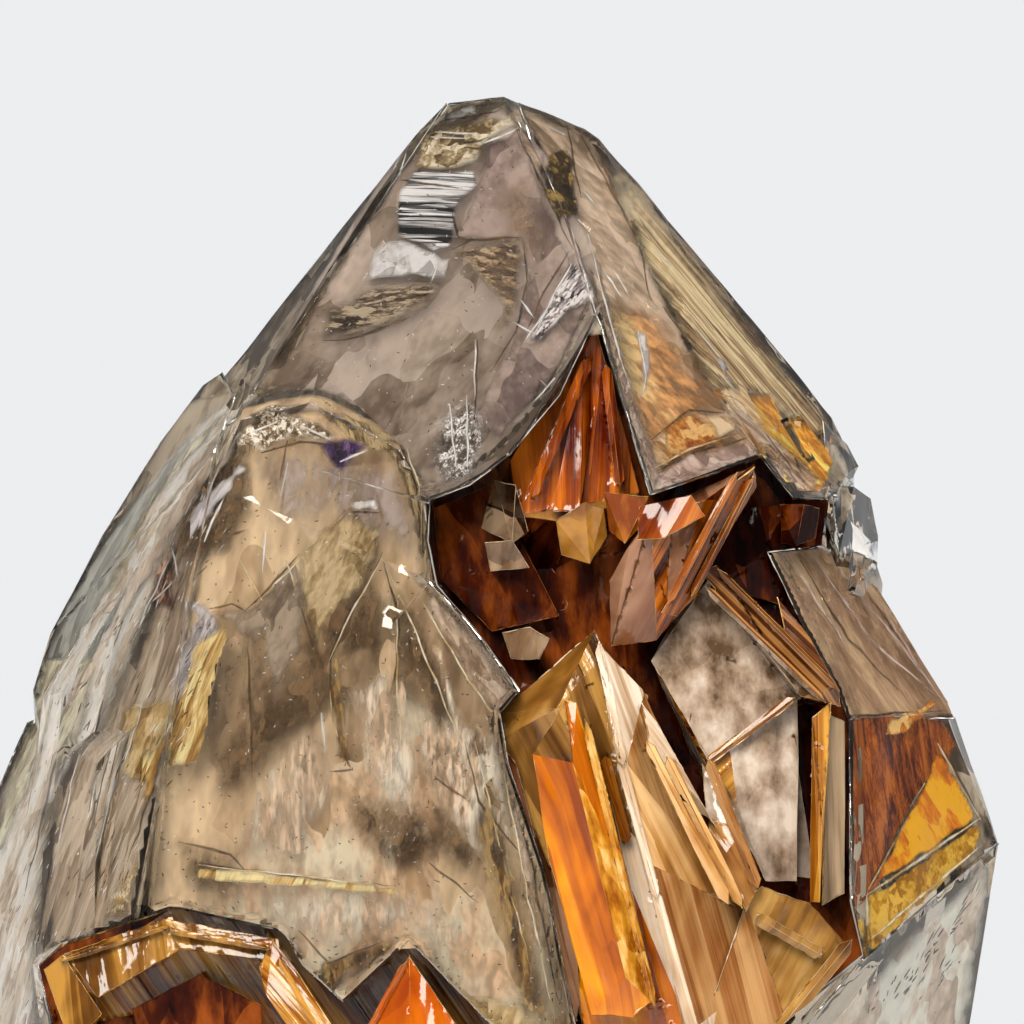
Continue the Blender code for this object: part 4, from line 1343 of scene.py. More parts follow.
OLIVE = GoldFinish("olive_tip", (0.0353, 0.00911, 0.00054), (0.172, 0.0708, 0.0108),
    (0.385, 0.202, 0.0459), (1200.0, 60.0), seed=13.0, clear=0.1, cloudy=0.62)
PRISM = GoldFinish("gold_prism", (0.182, 0.031, 4e-05), (0.456, 0.112, 0.00012),
    (0.699, 0.273, 0.0008), (1500.0, 50.0), seed=14.0, cloudy=0.62)
PEACH_BLADE = GoldFinish("peach_blade", (0.0702, 0.0161, 0.00179), (0.22, 0.0806, 0.0193),
    (0.401, 0.217, 0.0831), (1900.0, 34.0), seed=15.0, cloudy=0.62)
WHITE = GoldFinish("white_sliver", (0.231, 0.128, 0.0619), (0.477, 0.333, 0.214),
    (0.679, 0.563, 0.45), (2200.0, 50.0), seed=16.0)
TAN = GoldFinish("tan_foot", (0.0595, 0.0222, 0.00324), (0.23, 0.108, 0.0223),
    (0.461, 0.273, 0.081), (900.0, 90.0), seed=17.0, clear=0.1, cloudy=0.62)
FRAME_GOLD = GoldFinish("frame_gold", (0.024, 0.0063, 0.000225), (0.132, 0.0495, 0.00565),
    (0.372, 0.184, 0.0315), (1500.0, 60.0), seed=19.0)
POINT_ORANGE = GoldFinish("orange_point", (0.233, 0.0292, 8e-05), (0.376, 0.0675, 0.00016),
    (0.506, 0.121, 0.0008), (500.0, 120.0), seed=18.0, ridge=0.15)
YELLOW_FRILL = GoldFinish("yellow_frill", (0.216, 0.055, 0.0012), (0.475, 0.198, 0.012),
    (0.662, 0.407, 0.136), (1500.0, 500.0), seed=23.0, stops=(0.42, 0.5, 0.58))
BLADE = GoldFinish("amber_blade", (0.145, 0.045, 0.0072), (0.391, 0.18, 0.048),
    (0.646, 0.405, 0.18), (1300.0, 40.0), seed=26.0, cloudy=0.5)
BRONZE = GoldFinish("bronze_tip", (0.035, 0.01, 0.001), (0.14, 0.06, 0.012), (0.4, 0.21, 0.05),
    (1600.0, 50.0), seed=24.0)
ROSE = GoldFinish("rose_chip", (0.08, 0.04, 0.018), (0.24, 0.14, 0.075), (0.46, 0.32, 0.2),
    (700.0, 200.0), seed=25.0)
# Painted highlights: the pale and yellow finishes of the crusts' bevelled edges stand for light
# along the crystal edges.
PALE_EDGE_HIGHLIGHT = GoldFinish("pale_edge_highlight", (0.234, 0.133, 0.056), (0.468, 0.326, 0.182),
    (0.702, 0.592, 0.434), (900.0, 120.0), seed=20.0)
YELLOW_EDGE_HIGHLIGHT = GoldFinish("yellow_edge_highlight", (0.165, 0.0476, 0.0024), (0.42, 0.204, 0.03),
    (0.645, 0.435, 0.156), (900.0, 120.0), seed=21.0)
EDGE_RUST = GoldFinish("rust_edge", (0.03, 0.0052, 0.0006), (0.15, 0.0358, 0.0042),
    (0.435, 0.169, 0.036), (900.0, 120.0), seed=22.0)

MAIN_ZONES = (
    Zone(trace(598, 632, 606, 628, 622, 690, 642, 800, 664, 880, 702, 1010, 740, 1120, 700, 1120,
        674, 1010, 640, 880, 618, 780, 600, 690), WHITE, -13.0, PALE_EDGE_HIGHLIGHT, -15.6),
    Zone(trace(578, 700, 592, 714, 620, 830, 664, 1010, 650, 1016, 612, 900, 590, 780),
        YELLOW_FRILL, -14.0, YELLOW_EDGE_HIGHLIGHT, -17.0),
    Zone(trace(530, 745, 567, 694, 582, 700, 612, 800, 654, 1010, 620, 1020, 586, 1020, 560, 900),
        PRISM, -13.0, YELLOW_EDGE_HIGHLIGHT, -16.5),
    Zone(trace(600, 716, 618, 730, 640, 850, 620, 850, 600, 770), POST, -12.0, EDGE_RUST, -16.0),
    Zone(trace(502, 716, 516, 712, 580, 960, 590, 1020, 570, 1020, 520, 860), UMBER, -13.0,
        PALE_EDGE_HIGHLIGHT, -14.5),
    Zone(trace(594, 612, 560, 640, 488, 700, 494, 760, 530, 750, 552, 712, 566, 680), OLIVE, 40.0,
        PALE_EDGE_HIGHLIGHT, -12.8),
    Zone(trace(594, 612, 604, 640, 640, 780, 700, 1020, 720, 1140, 560, 1140, 530, 860, 520, 740,
        566, 670), BRONZE, -12.0, YELLOW_EDGE_HIGHLIGHT, -13.0),
    Zone(trace(640, 708, 654, 712, 700, 776, 722, 812, 724, 842, 690, 812, 650, 740), WHITE, -34.0,
        PALE_EDGE_HIGHLIGHT, -16.4),
    Zone(trace(640, 730, 662, 740, 720, 820, 768, 880, 744, 916, 700, 866, 664, 800), BLADE, -28.0,
        YELLOW_EDGE_HIGHLIGHT, -16.0),
    Zone(trace(700, 746, 720, 750, 760, 820, 774, 890, 752, 892, 720, 830), PEACH_BLADE, -22.0,
        YELLOW_EDGE_HIGHLIGHT, -14.6),
    Zone(trace(604, 620, 640, 650, 700, 720, 716, 760, 690, 760, 640, 712, 614, 690), UMBER, -34.0,
        PALE_EDGE_HIGHLIGHT, -13.0),
    Zone(trace(604, 640, 650, 720, 700, 860, 742, 916, 760, 1140, 700, 1140, 650, 860),
        PEACH_BLADE, -14.0, PALE_EDGE_HIGHLIGHT, -13.0),
    Zone(trace(710, 880, 752, 850, 860, 920, 884, 960, 800, 1040, 700, 1140), TAN, 40.0, PALE_EDGE_HIGHLIGHT,
        -13.0),
    Zone(trace(760, 462, 730, 462, 660, 590, 664, 630, 690, 620, 760, 490), EDGE, 31.0,
        YELLOW_EDGE_HIGHLIGHT, -12.0),
    Zone(trace(632, 492, 690, 480, 708, 520, 664, 552, 630, 552), LENS_GOLD, 28.0, YELLOW_EDGE_HIGHLIGHT,
        -13.6),
    Zone(trace(640, 490, 720, 470, 712, 560, 690, 630, 640, 660, 600, 650, 600, 570), UMBER, 20.0,
        EDGE_RUST, -12.6),
    Zone(trace(696, 560, 730, 550, 856, 690, 850, 716, 822, 710, 716, 588), COPPER, -46.0,
        YELLOW_EDGE_HIGHLIGHT, -10.4),
    Zone(trace(770, 590, 800, 600, 850, 670, 830, 690, 780, 640), LENS_GOLD, -34.0, YELLOW_EDGE_HIGHLIGHT,
        -9.0),
    Zone(trace(690, 776, 700, 750, 790, 690, 806, 700, 740, 756, 704, 784), POST, 50.0,
        YELLOW_EDGE_HIGHLIGHT, -12.0),
    Zone(trace(804, 706, 832, 696, 824, 830, 820, 910, 800, 910), POST, 2.0, YELLOW_EDGE_HIGHLIGHT, -10.0),
    Zone(trace(822, 712, 852, 716, 852, 900, 820, 908), GREY, 0.0, PALE_EDGE_HIGHLIGHT, -9.0),
    Zone(trace(646, 660, 700, 570, 808, 684, 812, 760, 806, 900, 752, 904, 684, 750), CLOUD, 0.0,
        PALE_EDGE_HIGHLIGHT, -5.0),
    Zone(trace(600, 490, 652, 492, 648, 540, 620, 556, 604, 540), YELLOW, 0.0, YELLOW_EDGE_HIGHLIGHT),
    Zone(trace(552, 500, 600, 488, 612, 536, 592, 570, 552, 560), TOOTH, 0.0, PALE_EDGE_HIGHLIGHT, -8.8),
    Zone(trace(480, 468, 520, 470, 526, 530, 498, 534, 480, 510), WINDOW, 0.0, PALE_EDGE_HIGHLIGHT),
    Zone(trace(484, 536, 514, 536, 536, 574, 486, 576), ROSE, 0.0, PALE_EDGE_HIGHLIGHT, -9.0),
    Zone(trace(494, 620, 556, 620, 556, 668, 504, 670), ROSE, 0.0, PALE_EDGE_HIGHLIGHT, -8.6),
    Zone(trace(500, 572, 606, 560, 600, 660, 500, 640), RUST, 10.0, EDGE_RUST, -5.0),
    Zone(trace(600, 312, 652, 410, 652, 500, 600, 520, 552, 520, 500, 470, 508, 440, 560, 360),
        FAN, 6.0, EDGE_RUST, -6.5),
)
LOWER_ZONES = (
    Zone(((-5.1, 24.3), (-8.6, 18.0), (-8.0, 15.0), (-1.4, 15.0), (-0.8, 19.4)), POINT_ORANGE, 0.0,
        YELLOW_EDGE_HIGHLIGHT),
    Zone(((-19.1, 20.8), (-15.6, 22.3), (-12.3, 20.8), (-12.1, 16.0), (-17.8, 15.6)), RED, 0.0,
        EDGE_RUST),
    Zone(((-12.0, 24.5), (-10.6, 23.1), (-8.3, 19.4), (-9.5, 16.0), (-12.7, 21.8)), POST, -34.0,
        YELLOW_EDGE_HIGHLIGHT),
)


def left_face() -> list[Veil | Seams | Scatter]:
    """Lists what lies behind the broad left face of the tip."""
    face = Face.LEFT
    whole = trace(448, 100, 505, 96, 595, 318, 508, 452, 430, 496, 246, 418, 335, 262)
    return [
        Veil("left_backing", face, trace(448, 84, 510, 84, 604, 318, 560, 410, 430, 510, 300, 420,
            190, 430, 200, 380, 320, 240), 6.5, BACKING, fade=0.3, step=0.6),
        Veil("left_mist", face, trace(505, 96, 448, 100, 420, 130, 335, 262, 246, 418, 320, 406,
            400, 450, 430, 510, 516, 466, 568, 404, 606, 322, 580, 228, 522, 130), 3.0, MIST, 0.8,
            3.4, stretch=1.8, fade=0.3),
        Veil("lilac_plate", face, trace(486, 140, 520, 124, 545, 190, 590, 300, 560, 370, 500, 440,
            470, 420, 510, 340, 524, 280, 520, 240, 474, 238, 452, 236, 474, 180), 2.3,
            LILAC_PLATE, fade=0.25),
        Veil("amber_glow", face, trace(490, 182, 530, 176, 556, 230, 540, 300, 524, 260, 500, 236),
            1.9, AMBER_GLOW, fade=1.2),
        Veil("grey_cap", face, trace(424, 122, 448, 102, 476, 96, 480, 112, 452, 121), 1.4,
            GREY_CAP, fade=0.3),
        Veil("olive_gloss", face, trace(420, 126, 436, 120, 512, 108, 516, 122, 484, 142, 480, 158,
            452, 170, 408, 168), 1.6, OLIVE_GLOSS, fade=0.3),
        # A fracture of black stripes, with a painted reflection in its white stripes.
        Veil("striped_chip", face, trace(398, 186, 412, 164, 474, 168, 478, 182, 458, 206,
            452, 248, 434, 250, 392, 232), 1.5, STRIPES, fade=0.15, step=0.25),
        Veil("pale_chip", face, trace(366, 258, 380, 238, 402, 236, 432, 250, 452, 256, 446, 280,
            410, 276, 368, 280), 1.7, PALE_CHIP, fade=0.15),
        Veil("black_feather", face, trace(322, 306, 372, 280, 430, 276, 450, 284, 424, 310,
            372, 334, 320, 340), 1.4, BLACK_FEATHER, fade=0.5, step=0.25),
        Veil("brown_feather", face, trace(452, 252, 470, 240, 520, 234, 526, 256, 520, 300,
            506, 340, 498, 300, 470, 270), 1.3, BROWN_FEATHER, fade=0.3, step=0.25),
        Veil("silver_lines", face, trace(574, 246, 594, 296, 560, 322, 540, 346, 524, 342,
            546, 306), 1.2, SILVER_LINES, fade=0.2, step=0.25),
        Veil("frost", face, trace(446, 400, 478, 396, 490, 440, 476, 486, 444, 488, 430, 470,
            428, 440), 1.2, FROST, fade=0.7, step=0.25),
        Scatter(Veil("left_specks", face, whole, 1.2, CREASE), 0.5, (0.06, 0.24), 0.05, 0.0, 90.0,
            9),
        Scatter(Veil("left_sparkles", face, whole, 1.1, GLINT), 0.5, (0.06, 0.22), 0.045, 0.0,
            90.0, 10),
        Seams("left_dark_seams", face, 1.1, CREASE, (trace(462, 140, 480, 138, 488, 134),
            trace(464, 144, 482, 146), trace(524, 240, 527, 280, 516, 330, 490, 372),
            trace(452, 212, 458, 236, 474, 240), trace(596, 316, 566, 372, 544, 396),
            trace(400, 178, 462, 186), trace(436, 118, 472, 112, 500, 106), trace(452, 248,
            470, 238, 522, 236), trace(568, 250, 540, 300, 526, 330), trace(320, 386, 326, 380),
            trace(322, 340, 360, 336, 410, 316), trace(474, 420, 478, 340)), 0.2),
        # Painted highlights: short white glints along the cracks behind the left face.
        Seams("left_glint_seams", face, 1.05, GLINT, (trace(484, 140, 518, 124), trace(434, 128,
            478, 130), trace(430, 133, 470, 135), trace(556, 296, 524, 342), trace(572, 262,
            536, 330), trace(590, 320, 560, 376, 530, 404), trace(512, 322, 536, 334),
            trace(520, 300, 534, 318), trace(450, 404, 456, 470), trace(466, 396, 468, 470),
            trace(476, 340, 474, 400), trace(404, 150, 398, 176), trace(440, 260, 430, 282),
            trace(540, 380, 552, 392, 560, 372)), 0.16),
    ]


def right_face() -> list[Veil | Seams | Scatter]:
    """Lists what lies behind the right face of the tip and behind the shoulder beside it."""
    face = Face.RIGHT
    return [
        Veil("right_backing", face, trace(512, 84, 600, 110, 720, 300, 880, 460, 900, 560,
            764, 560, 764, 456, 650, 504, 585, 236), 5.5, BACKING, fade=0.3, step=0.6),
        Veil("right_haze", face, trace(518, 100, 560, 118, 592, 126, 620, 190, 700, 370, 772, 462,
            648, 508, 578, 236, 530, 130), 2.8, HAZE, 0.7, 2.4, stretch=3.0, fade=0.2),
        Veil("brown_lens", face, trace(546, 148, 566, 144, 576, 160, 582, 224, 574, 218, 566, 226,
            552, 200, 544, 170), 1.0, LENS, fade=0.15),
        Veil("peach_glow", face, trace(598, 300, 660, 300, 712, 372, 756, 452, 656, 494, 620, 410),
            2.1, PEACH, fade=1.4),
        Veil("orange_blob", face, trace(660, 422, 688, 408, 716, 420, 722, 440, 690, 456,
            664, 462), 1.5, ORANGE_BLOB, fade=0.3),
        Veil("lilac_border_low", face, trace(647, 508, 772, 462, 748, 440, 690, 452, 652, 476),
            1.3, LILAC_BORDER, fade=0.2),
        Veil("lilac_border_left", face, trace(590, 262, 604, 300, 664, 478, 650, 496, 618, 390),
            1.3, LILAC_BORDER, fade=0.3),
        Seams("right_dark_seams", face, 1.1, CREASE, (trace(520, 124, 556, 200, 580, 250),
            trace(568, 124, 582, 196), trace(604, 304, 612, 350), trace(582, 130, 640, 240,
            652, 300), trace(690, 452, 748, 438), trace(664, 306, 720, 380), trace(600, 150,
            620, 200)), 0.2),
        # Painted highlights: short white glints behind the right face.
        Seams("right_glint_seams", face, 1.05, GLINT, (trace(604, 270, 624, 300), trace(612, 268,
            630, 296), trace(638, 330, 646, 376, 640, 400), trace(650, 496, 690, 484, 760, 456),
            trace(548, 124, 568, 132), trace(700, 330, 724, 356), trace(584, 190, 596, 204),
            trace(588, 232, 650, 478), trace(656, 252, 676, 262)), 0.15),
        Veil("beige_streaks", Face.SHOULDER, trace(600, 130, 640, 184, 760, 330, 834, 420,
            850, 454, 800, 440, 760, 400, 714, 390, 650, 260), 1.6, BEIGE_STREAKS),
        Veil("shoulder_gold", face, trace(690, 400, 714, 384, 800, 376, 850, 428, 862, 544,
            790, 512, 756, 460), 3.4, SHOULDER_GOLD, fade=0.3),
        Veil("golden_blade", face, trace(716, 390, 738, 378, 790, 374, 822, 400, 836, 446,
            822, 444, 780, 414, 760, 424, 736, 412), 1.9, BLADE_GOLD, 0.5, 1.6, stretch=3.0,
            fade=0.2, ragged=0.1),
        Veil("lilac_finger", face, trace(718, 398, 748, 410, 806, 470, 828, 504, 812, 512,
            770, 470, 730, 424), 1.7, FINGER, 0.4, 1.4, stretch=3.0, fade=0.2, ragged=0.1),
        Veil("short_finger", face, trace(784, 414, 800, 430, 820, 474, 816, 486, 796, 466,
            786, 440), 1.5, FINGER, fade=0.2, ragged=0.1),
        Veil("tan_lens", face, trace(650, 440, 690, 408, 730, 412, 740, 430, 700, 446, 664, 470,
            650, 466), 1.7, LENS_TAN, fade=0.2),
        Veil("white_flake", face, trace(634, 330, 646, 334, 652, 366, 644, 404, 640, 380,
            640, 356), 1.3, PALE_CHIP, fade=0.16, ragged=0.1),
        Veil("pale_fan", face, trace(700, 366, 718, 352, 736, 360, 726, 372, 740, 386, 716, 378),
            1.2, PALE_CHIP, fade=0.16, ragged=0.1),
        Seams("shoulder_seams", face, 1.2, BLADE_GOLD, (trace(718, 394, 780, 414, 836, 448),
            trace(730, 424, 790, 492, 826, 510), trace(786, 416, 818, 486), trace(762, 452,
            795, 500), trace(740, 380, 790, 376, 822, 402, 838, 446), trace(664, 306, 700, 352,
            740, 380), trace(650, 470, 690, 448, 742, 432)), 0.16, 0.06),
        Seams("shoulder_dark_seams", face, 1.1, CREASE, (trace(720, 404, 760, 430, 812, 494),
            trace(782, 420, 800, 470, 816, 490), trace(760, 462, 796, 520), trace(650, 440,
            688, 410, 728, 414), trace(826, 446, 842, 480)), 0.18, 0.06),
    ]


def flank_and_panel() -> list[Veil | Seams | Scatter]:
    """Lists what lies behind the right flank, the golden panel and the right foot."""
    flank, panel, foot = Face.FLANK, Face.PANEL, Face.FOOT
    return [
        Veil("flank_backing", flank, trace(760, 540, 880, 560, 970, 700, 1010, 850, 850, 930,
            838, 660), 4.5, BACKING, fade=0.3, step=0.6),
        Veil("lilac_flank", flank, trace(752, 538, 820, 540, 884, 586, 956, 700, 962, 720,
            842, 718, 826, 668, 786, 630), 1.8, LILAC_FLANK, fade=0.2),
        Seams("flank_seams", flank, 1.2, LILAC_BORDER, (trace(770, 556, 800, 616, 838, 664),
            trace(812, 552, 872, 640, 944, 700), trace(830, 560, 900, 640, 950, 706),
            trace(790, 560, 850, 650), trace(880, 600, 930, 680)), 0.22),
        Seams("flank_dark_seams", flank, 1.1, CREASE, (trace(800, 560, 850, 640, 900, 690),
            trace(850, 566, 910, 650), trace(852, 716, 950, 712)), 0.2),
        Veil("brown_fibres", panel, trace(840, 716, 942, 710, 962, 748, 866, 900, 840, 920), 2.2,
            BROWN_FIBRES, fade=0.2),
        Veil("gold_panel", panel, trace(940, 744, 982, 820, 866, 892, 926, 784), 1.6, GOLD_PANEL,
            fade=0.1),
        Veil("yellow_band", panel, trace(984, 822, 982, 850, 872, 952, 864, 940, 866, 896), 1.6,
            YELLOW_BAND, fade=0.1),
        Veil("dark_rim", panel, trace(960, 744, 1000, 840, 986, 850, 984, 806), 1.0, DARK_RIM,
            fade=0.2),
        Veil("orange_facet", panel, trace(880, 738, 906, 736, 944, 704, 932, 702, 890, 720), 1.0,
            ORANGE_FACET, fade=0.12, step=0.25),
        # Painted highlights: cream lines along the panel's edges.
        Seams("panel_cream_highlights", panel, 1.2, CREAM_HIGHLIGHT, (trace(866, 894, 984, 820), trace(866, 894,
            866, 944), trace(940, 744, 984, 822), trace(866, 940, 984, 848), trace(850, 720,
            852, 900), trace(926, 784, 866, 892)), 0.26, 0.04),
        Seams("panel_dark_seams", panel, 1.1, CREASE, (trace(928, 782, 868, 884), trace(946, 750,
            980, 814), trace(872, 950, 990, 852)), 0.22, 0.05),
        Veil("foot_pale", foot, trace(1000, 850, 826, 1020, 780, 1200, 930, 1240, 975, 1024), 2.0,
            FOOT_PALE),
        Scatter(Veil("foot_needles", foot, trace(996, 858, 960, 980, 900, 1010, 870, 1000,
            900, 950, 850, 1010), 1.5, NEEDLE, ragged=0.8), 1.6, (0.5, 1.5), 0.11, 48.0, 16.0, 3),
        Scatter(Veil("foot_flakes", foot, trace(998, 852, 970, 1100, 800, 1200, 826, 1020), 1.6,
            NEEDLE, ragged=0.8), 0.5, (0.1, 0.45), 0.1, 48.0, 40.0, 5),
    ]


def wall() -> list[Veil | Seams | Scatter]:
    """Lists what lies behind the broad lower wall, from its smoky ground to its finest cracks, with
    its painted shade and painted highlights.
    """
    face = Face.WALL
    whole = trace(244, 424, 310, 406, 396, 444, 434, 590, 522, 692, 558, 884, 602, 1164,
                  148, 1164, 144, 864, 192, 584)
    return [
        Veil("wall_backing", face, trace(230, 410, 330, 396, 420, 450, 440, 590, 530, 680,
            600, 1300, 100, 1300, 140, 700), 6.0, BACKING, fade=0.3, step=0.6),
        Veil("wall_smoke", face, trace(244, 424, 310, 406, 396, 444, 432, 504, 444, 584, 534, 686,
            572, 884, 616, 1164, 148, 1164, 144, 864, 192, 584), 3.0, SMOKE, 1.0, 2.6, stretch=3.0,
            fade=0.3),
        Veil("pale_ground", face, trace(200, 880, 260, 800, 330, 730, 400, 680, 500, 716, 540, 860,
            590, 1080, 180, 1080), 2.5, PALE_GROUND, 1.0, 2.6, stretch=3.0, fade=1.6),
        # Painted shade over the middle of the wall.
        Veil("shade_ground", face, trace(196, 780, 210, 660, 300, 570, 400, 600, 468, 730, 400, 700,
            336, 716, 262, 770), 2.2, SHADE_GROUND, 1.0, 2.6, stretch=3.0, fade=1.4),
        Veil("top_shadow", face, trace(162, 552, 196, 480, 250, 446, 256, 500, 232, 552, 196, 562),
            2.2, SHADOW, fade=0.4),
        Veil("lilac_bar", face, trace(172, 548, 186, 510, 240, 462, 248, 468, 206, 520, 182, 552),
            1.7, LILAC_BAR, fade=0.15, step=0.2),
        Veil("sugar_top", face, trace(234, 446, 244, 424, 266, 408, 300, 412, 340, 432, 332, 444,
            290, 440, 262, 452), 1.6, SUGAR, fade=0.25, step=0.25),
        Veil("olive_rim", face, trace(312, 400, 352, 424, 392, 438, 404, 452, 420, 490, 432, 540,
            437, 584, 428, 584, 416, 540, 402, 486, 390, 456, 344, 440), 1.5, OLIVE_BAND,
            fade=0.15, step=0.25),
        Veil("tan_leaf", face, trace(296, 556, 320, 530, 350, 506, 384, 532, 374, 566, 346, 610,
            328, 650, 322, 670, 306, 620), 1.9, LEAF, fade=0.2, step=0.3),
        Veil("grey_leaf", face, trace(208, 610, 246, 606, 298, 552, 308, 604, 302, 648, 276, 704,
            262, 660, 232, 628), 2.0, GREY_LEAF, fade=0.35),
        Veil("shadow_middle", face, trace(208, 760, 232, 722, 276, 690, 300, 650, 310, 606,
            330, 680, 326, 720, 282, 742, 250, 790, 214, 800), 1.7, SHADOW, fade=0.7),
        Veil("shadow_fold", face, trace(384, 552, 402, 590, 436, 640, 470, 740, 444, 732, 408, 660,
            390, 610), 1.7, SHADOW, fade=0.5),
        Veil("shadow_nook", face, trace(376, 566, 384, 600, 386, 650, 350, 654, 332, 668,
            350, 618), 1.6, SHADOW, fade=0.3),
        Veil("shadow_low", face, trace(338, 782, 378, 790, 420, 800, 470, 842, 480, 880, 440, 860,
            400, 880, 344, 830), 1.6, SHADOW, fade=0.9),
        Veil("shadow_left", face, trace(172, 830, 236, 850, 252, 900, 180, 890), 1.6, SHADOW,
            fade=0.9),
        Veil("pale_left", face, trace(250, 790, 300, 722, 332, 740, 336, 800, 300, 850, 240, 850),
            1.5, PALE_STREAK, fade=0.9),
        Veil("pale_middle", face, trace(346, 690, 390, 660, 404, 700, 424, 800, 396, 812,
            360, 770), 1.5, PALE_STREAK, fade=0.8),
        Veil("pale_right", face, trace(404, 700, 432, 710, 500, 730, 516, 830, 512, 900, 470, 850,
            430, 800), 1.5, PALE_STREAK, fade=0.7),
        Veil("pale_low", face, trace(240, 900, 330, 880, 420, 890, 470, 920, 470, 960, 400, 930,
            330, 950, 290, 930), 1.5, PALE_STREAK, fade=1.2),
        Veil("sliver_middle", face, trace(392, 640, 404, 650, 418, 760, 414, 824, 398, 764), 1.3,
            PALE_STREAK, 0.3, 1.6, stretch=4.0, fade=0.25),
        Veil("sliver_right", face, trace(430, 640, 444, 650, 472, 740, 482, 806, 462, 764), 1.3,
            PALE_STREAK, 0.3, 1.6, stretch=4.0, fade=0.25),
        Veil("sliver_edge", face, trace(500, 714, 512, 722, 534, 860, 548, 980, 522, 900), 1.3,
            PALE_PINK, 0.3, 1.6, stretch=4.0, fade=0.3),
        Veil("sliver_left", face, trace(268, 812, 300, 756, 316, 790, 304, 856, 276, 856), 1.3,
            PALE_STREAK, 0.3, 1.6, stretch=4.0, fade=0.3),
        Veil("groove_middle", face, trace(332, 650, 341, 654, 348, 720, 352, 762, 338, 758,
            330, 700), 1.2, AMBER_GAP, fade=0.2),
        # Painted shade: dark sheets in the wall's grooves, where shade falls.
        Veil("groove_right_shade", face, trace(404, 596, 418, 612, 442, 690, 456, 764, 438, 734,
            412, 660), 1.2, SHADOW, fade=0.3),
        Veil("groove_left_shade", face, trace(246, 612, 258, 640, 256, 764, 244, 744, 238, 660), 1.2,
            SHADE_GROUND, fade=0.3),
        Veil("groove_edge_shade", face, trace(470, 716, 484, 730, 504, 800, 512, 866, 492, 824,
            472, 764), 1.2, SHADE_GROUND, fade=0.3),
        Veil("groove_low_shade", face, trace(430, 798, 454, 810, 480, 850, 474, 872, 440, 842), 1.2,
            SHADOW, fade=0.3),
        Veil("pink_right", face, trace(434, 590, 500, 652, 524, 690, 502, 714, 486, 706, 446, 650,
            426, 604), 1.4, PALE_PINK, fade=0.3),
        Veil("lilac_top", face, trace(250, 452, 300, 446, 400, 470, 428, 540, 420, 570, 380, 540,
            330, 520, 262, 530), 1.3, LILAC_VEIL, fade=1.0),
        Veil("purple_patch", face, trace(316, 442, 346, 436, 372, 444, 356, 458, 342, 476,
            328, 462), 1.0, PURPLE, fade=0.22, ragged=0.1),
        Veil("amber_low", face, trace(424, 996, 462, 984, 520, 996, 560, 1030, 480, 1040,
            440, 1012), 1.4, GOLD_MIST, fade=0.6),
        Veil("brown_low", face, trace(318, 956, 352, 948, 392, 936, 412, 926, 396, 950, 352, 970,
            330, 1000, 316, 980), 1.4, AMBER_GAP, fade=0.3),
        Veil("olive_right", face, trace(480, 770, 500, 800, 520, 880, 560, 1030, 520, 1010,
            490, 900, 470, 830), 1.3, AMBER_GAP, fade=0.6),
        Veil("straw_bar", face, trace(198, 864, 398, 884, 398, 894, 198, 878), 1.0, STRAW,
            fade=0.15, step=0.2),
        # Painted highlight: a small white glint on the wall.
        Veil("white_glint_chip", face, trace(350, 500, 376, 498, 381, 511, 352, 509), 1.0, GLINT,
            fade=0.1, step=0.15),
        Seams("wall_dark_seams", face, 1.1, CREASE, (trace(382, 552, 372, 578, 346, 618, 331, 654,
            330, 690, 340, 748), trace(300, 604, 312, 640, 324, 668), trace(246, 612, 300, 554),
            trace(247, 640, 250, 700, 252, 776), trace(402, 452, 424, 506, 436, 586),
            trace(384, 560, 400, 620, 396, 680), trace(262, 452, 300, 442, 344, 448),
            trace(288, 440, 280, 480), trace(352, 512, 382, 512), trace(226, 536, 248, 530),
            trace(208, 610, 232, 604, 246, 612), trace(344, 752, 352, 768, 330, 770),
            trace(200, 740, 222, 640), trace(436, 776, 470, 800), trace(200, 862, 260, 870,
            330, 880, 398, 884), trace(300, 930, 330, 960, 380, 940), trace(466, 740, 480, 800,
            520, 850), trace(500, 712, 508, 770, 530, 850, 560, 1000), trace(178, 840, 230, 852,
            250, 872), trace(430, 860, 480, 900)), 0.2),
        # Painted highlights: pale lines along the wall's edges and fold ridges.
        Seams("wall_pale_highlights", face, 1.05, CREAM_HIGHLIGHT, (trace(258, 600, 304, 556), trace(384, 556,
            344, 626, 328, 664), trace(436, 592, 500, 654, 524, 690), trace(404, 448, 430, 510),
            trace(386, 564, 420, 640, 470, 760), trace(424, 604, 470, 680, 500, 720),
            trace(398, 600, 398, 680, 404, 760), trace(200, 864, 300, 874, 398, 886),
            trace(286, 560, 296, 590), trace(240, 560, 262, 600), trace(330, 690, 338, 740),
            trace(496, 720, 520, 850, 556, 1020), trace(476, 740, 500, 840, 530, 960),
            trace(224, 640, 210, 700)), 0.14),
        Scatter(Veil("wall_specks", face, whole, 1.2, CREASE), 0.9, (0.07, 0.26), 0.06, 0.0, 90.0,
            7),
        Scatter(Veil("wall_sparkles", face, whole, 1.1, GLINT), 0.8, (0.06, 0.22), 0.05, 0.0, 90.0,
            8),
        Seams("wall_glints", face, 1.0, GLINT, (trace(204, 542, 212, 520, 224, 498),
            trace(266, 530, 262, 576), trace(288, 462, 280, 500), trace(252, 432, 280, 420),
            trace(300, 425, 330, 440), trace(340, 462, 368, 450), trace(322, 712, 326, 750)), 0.2,
            0.03),
    ]


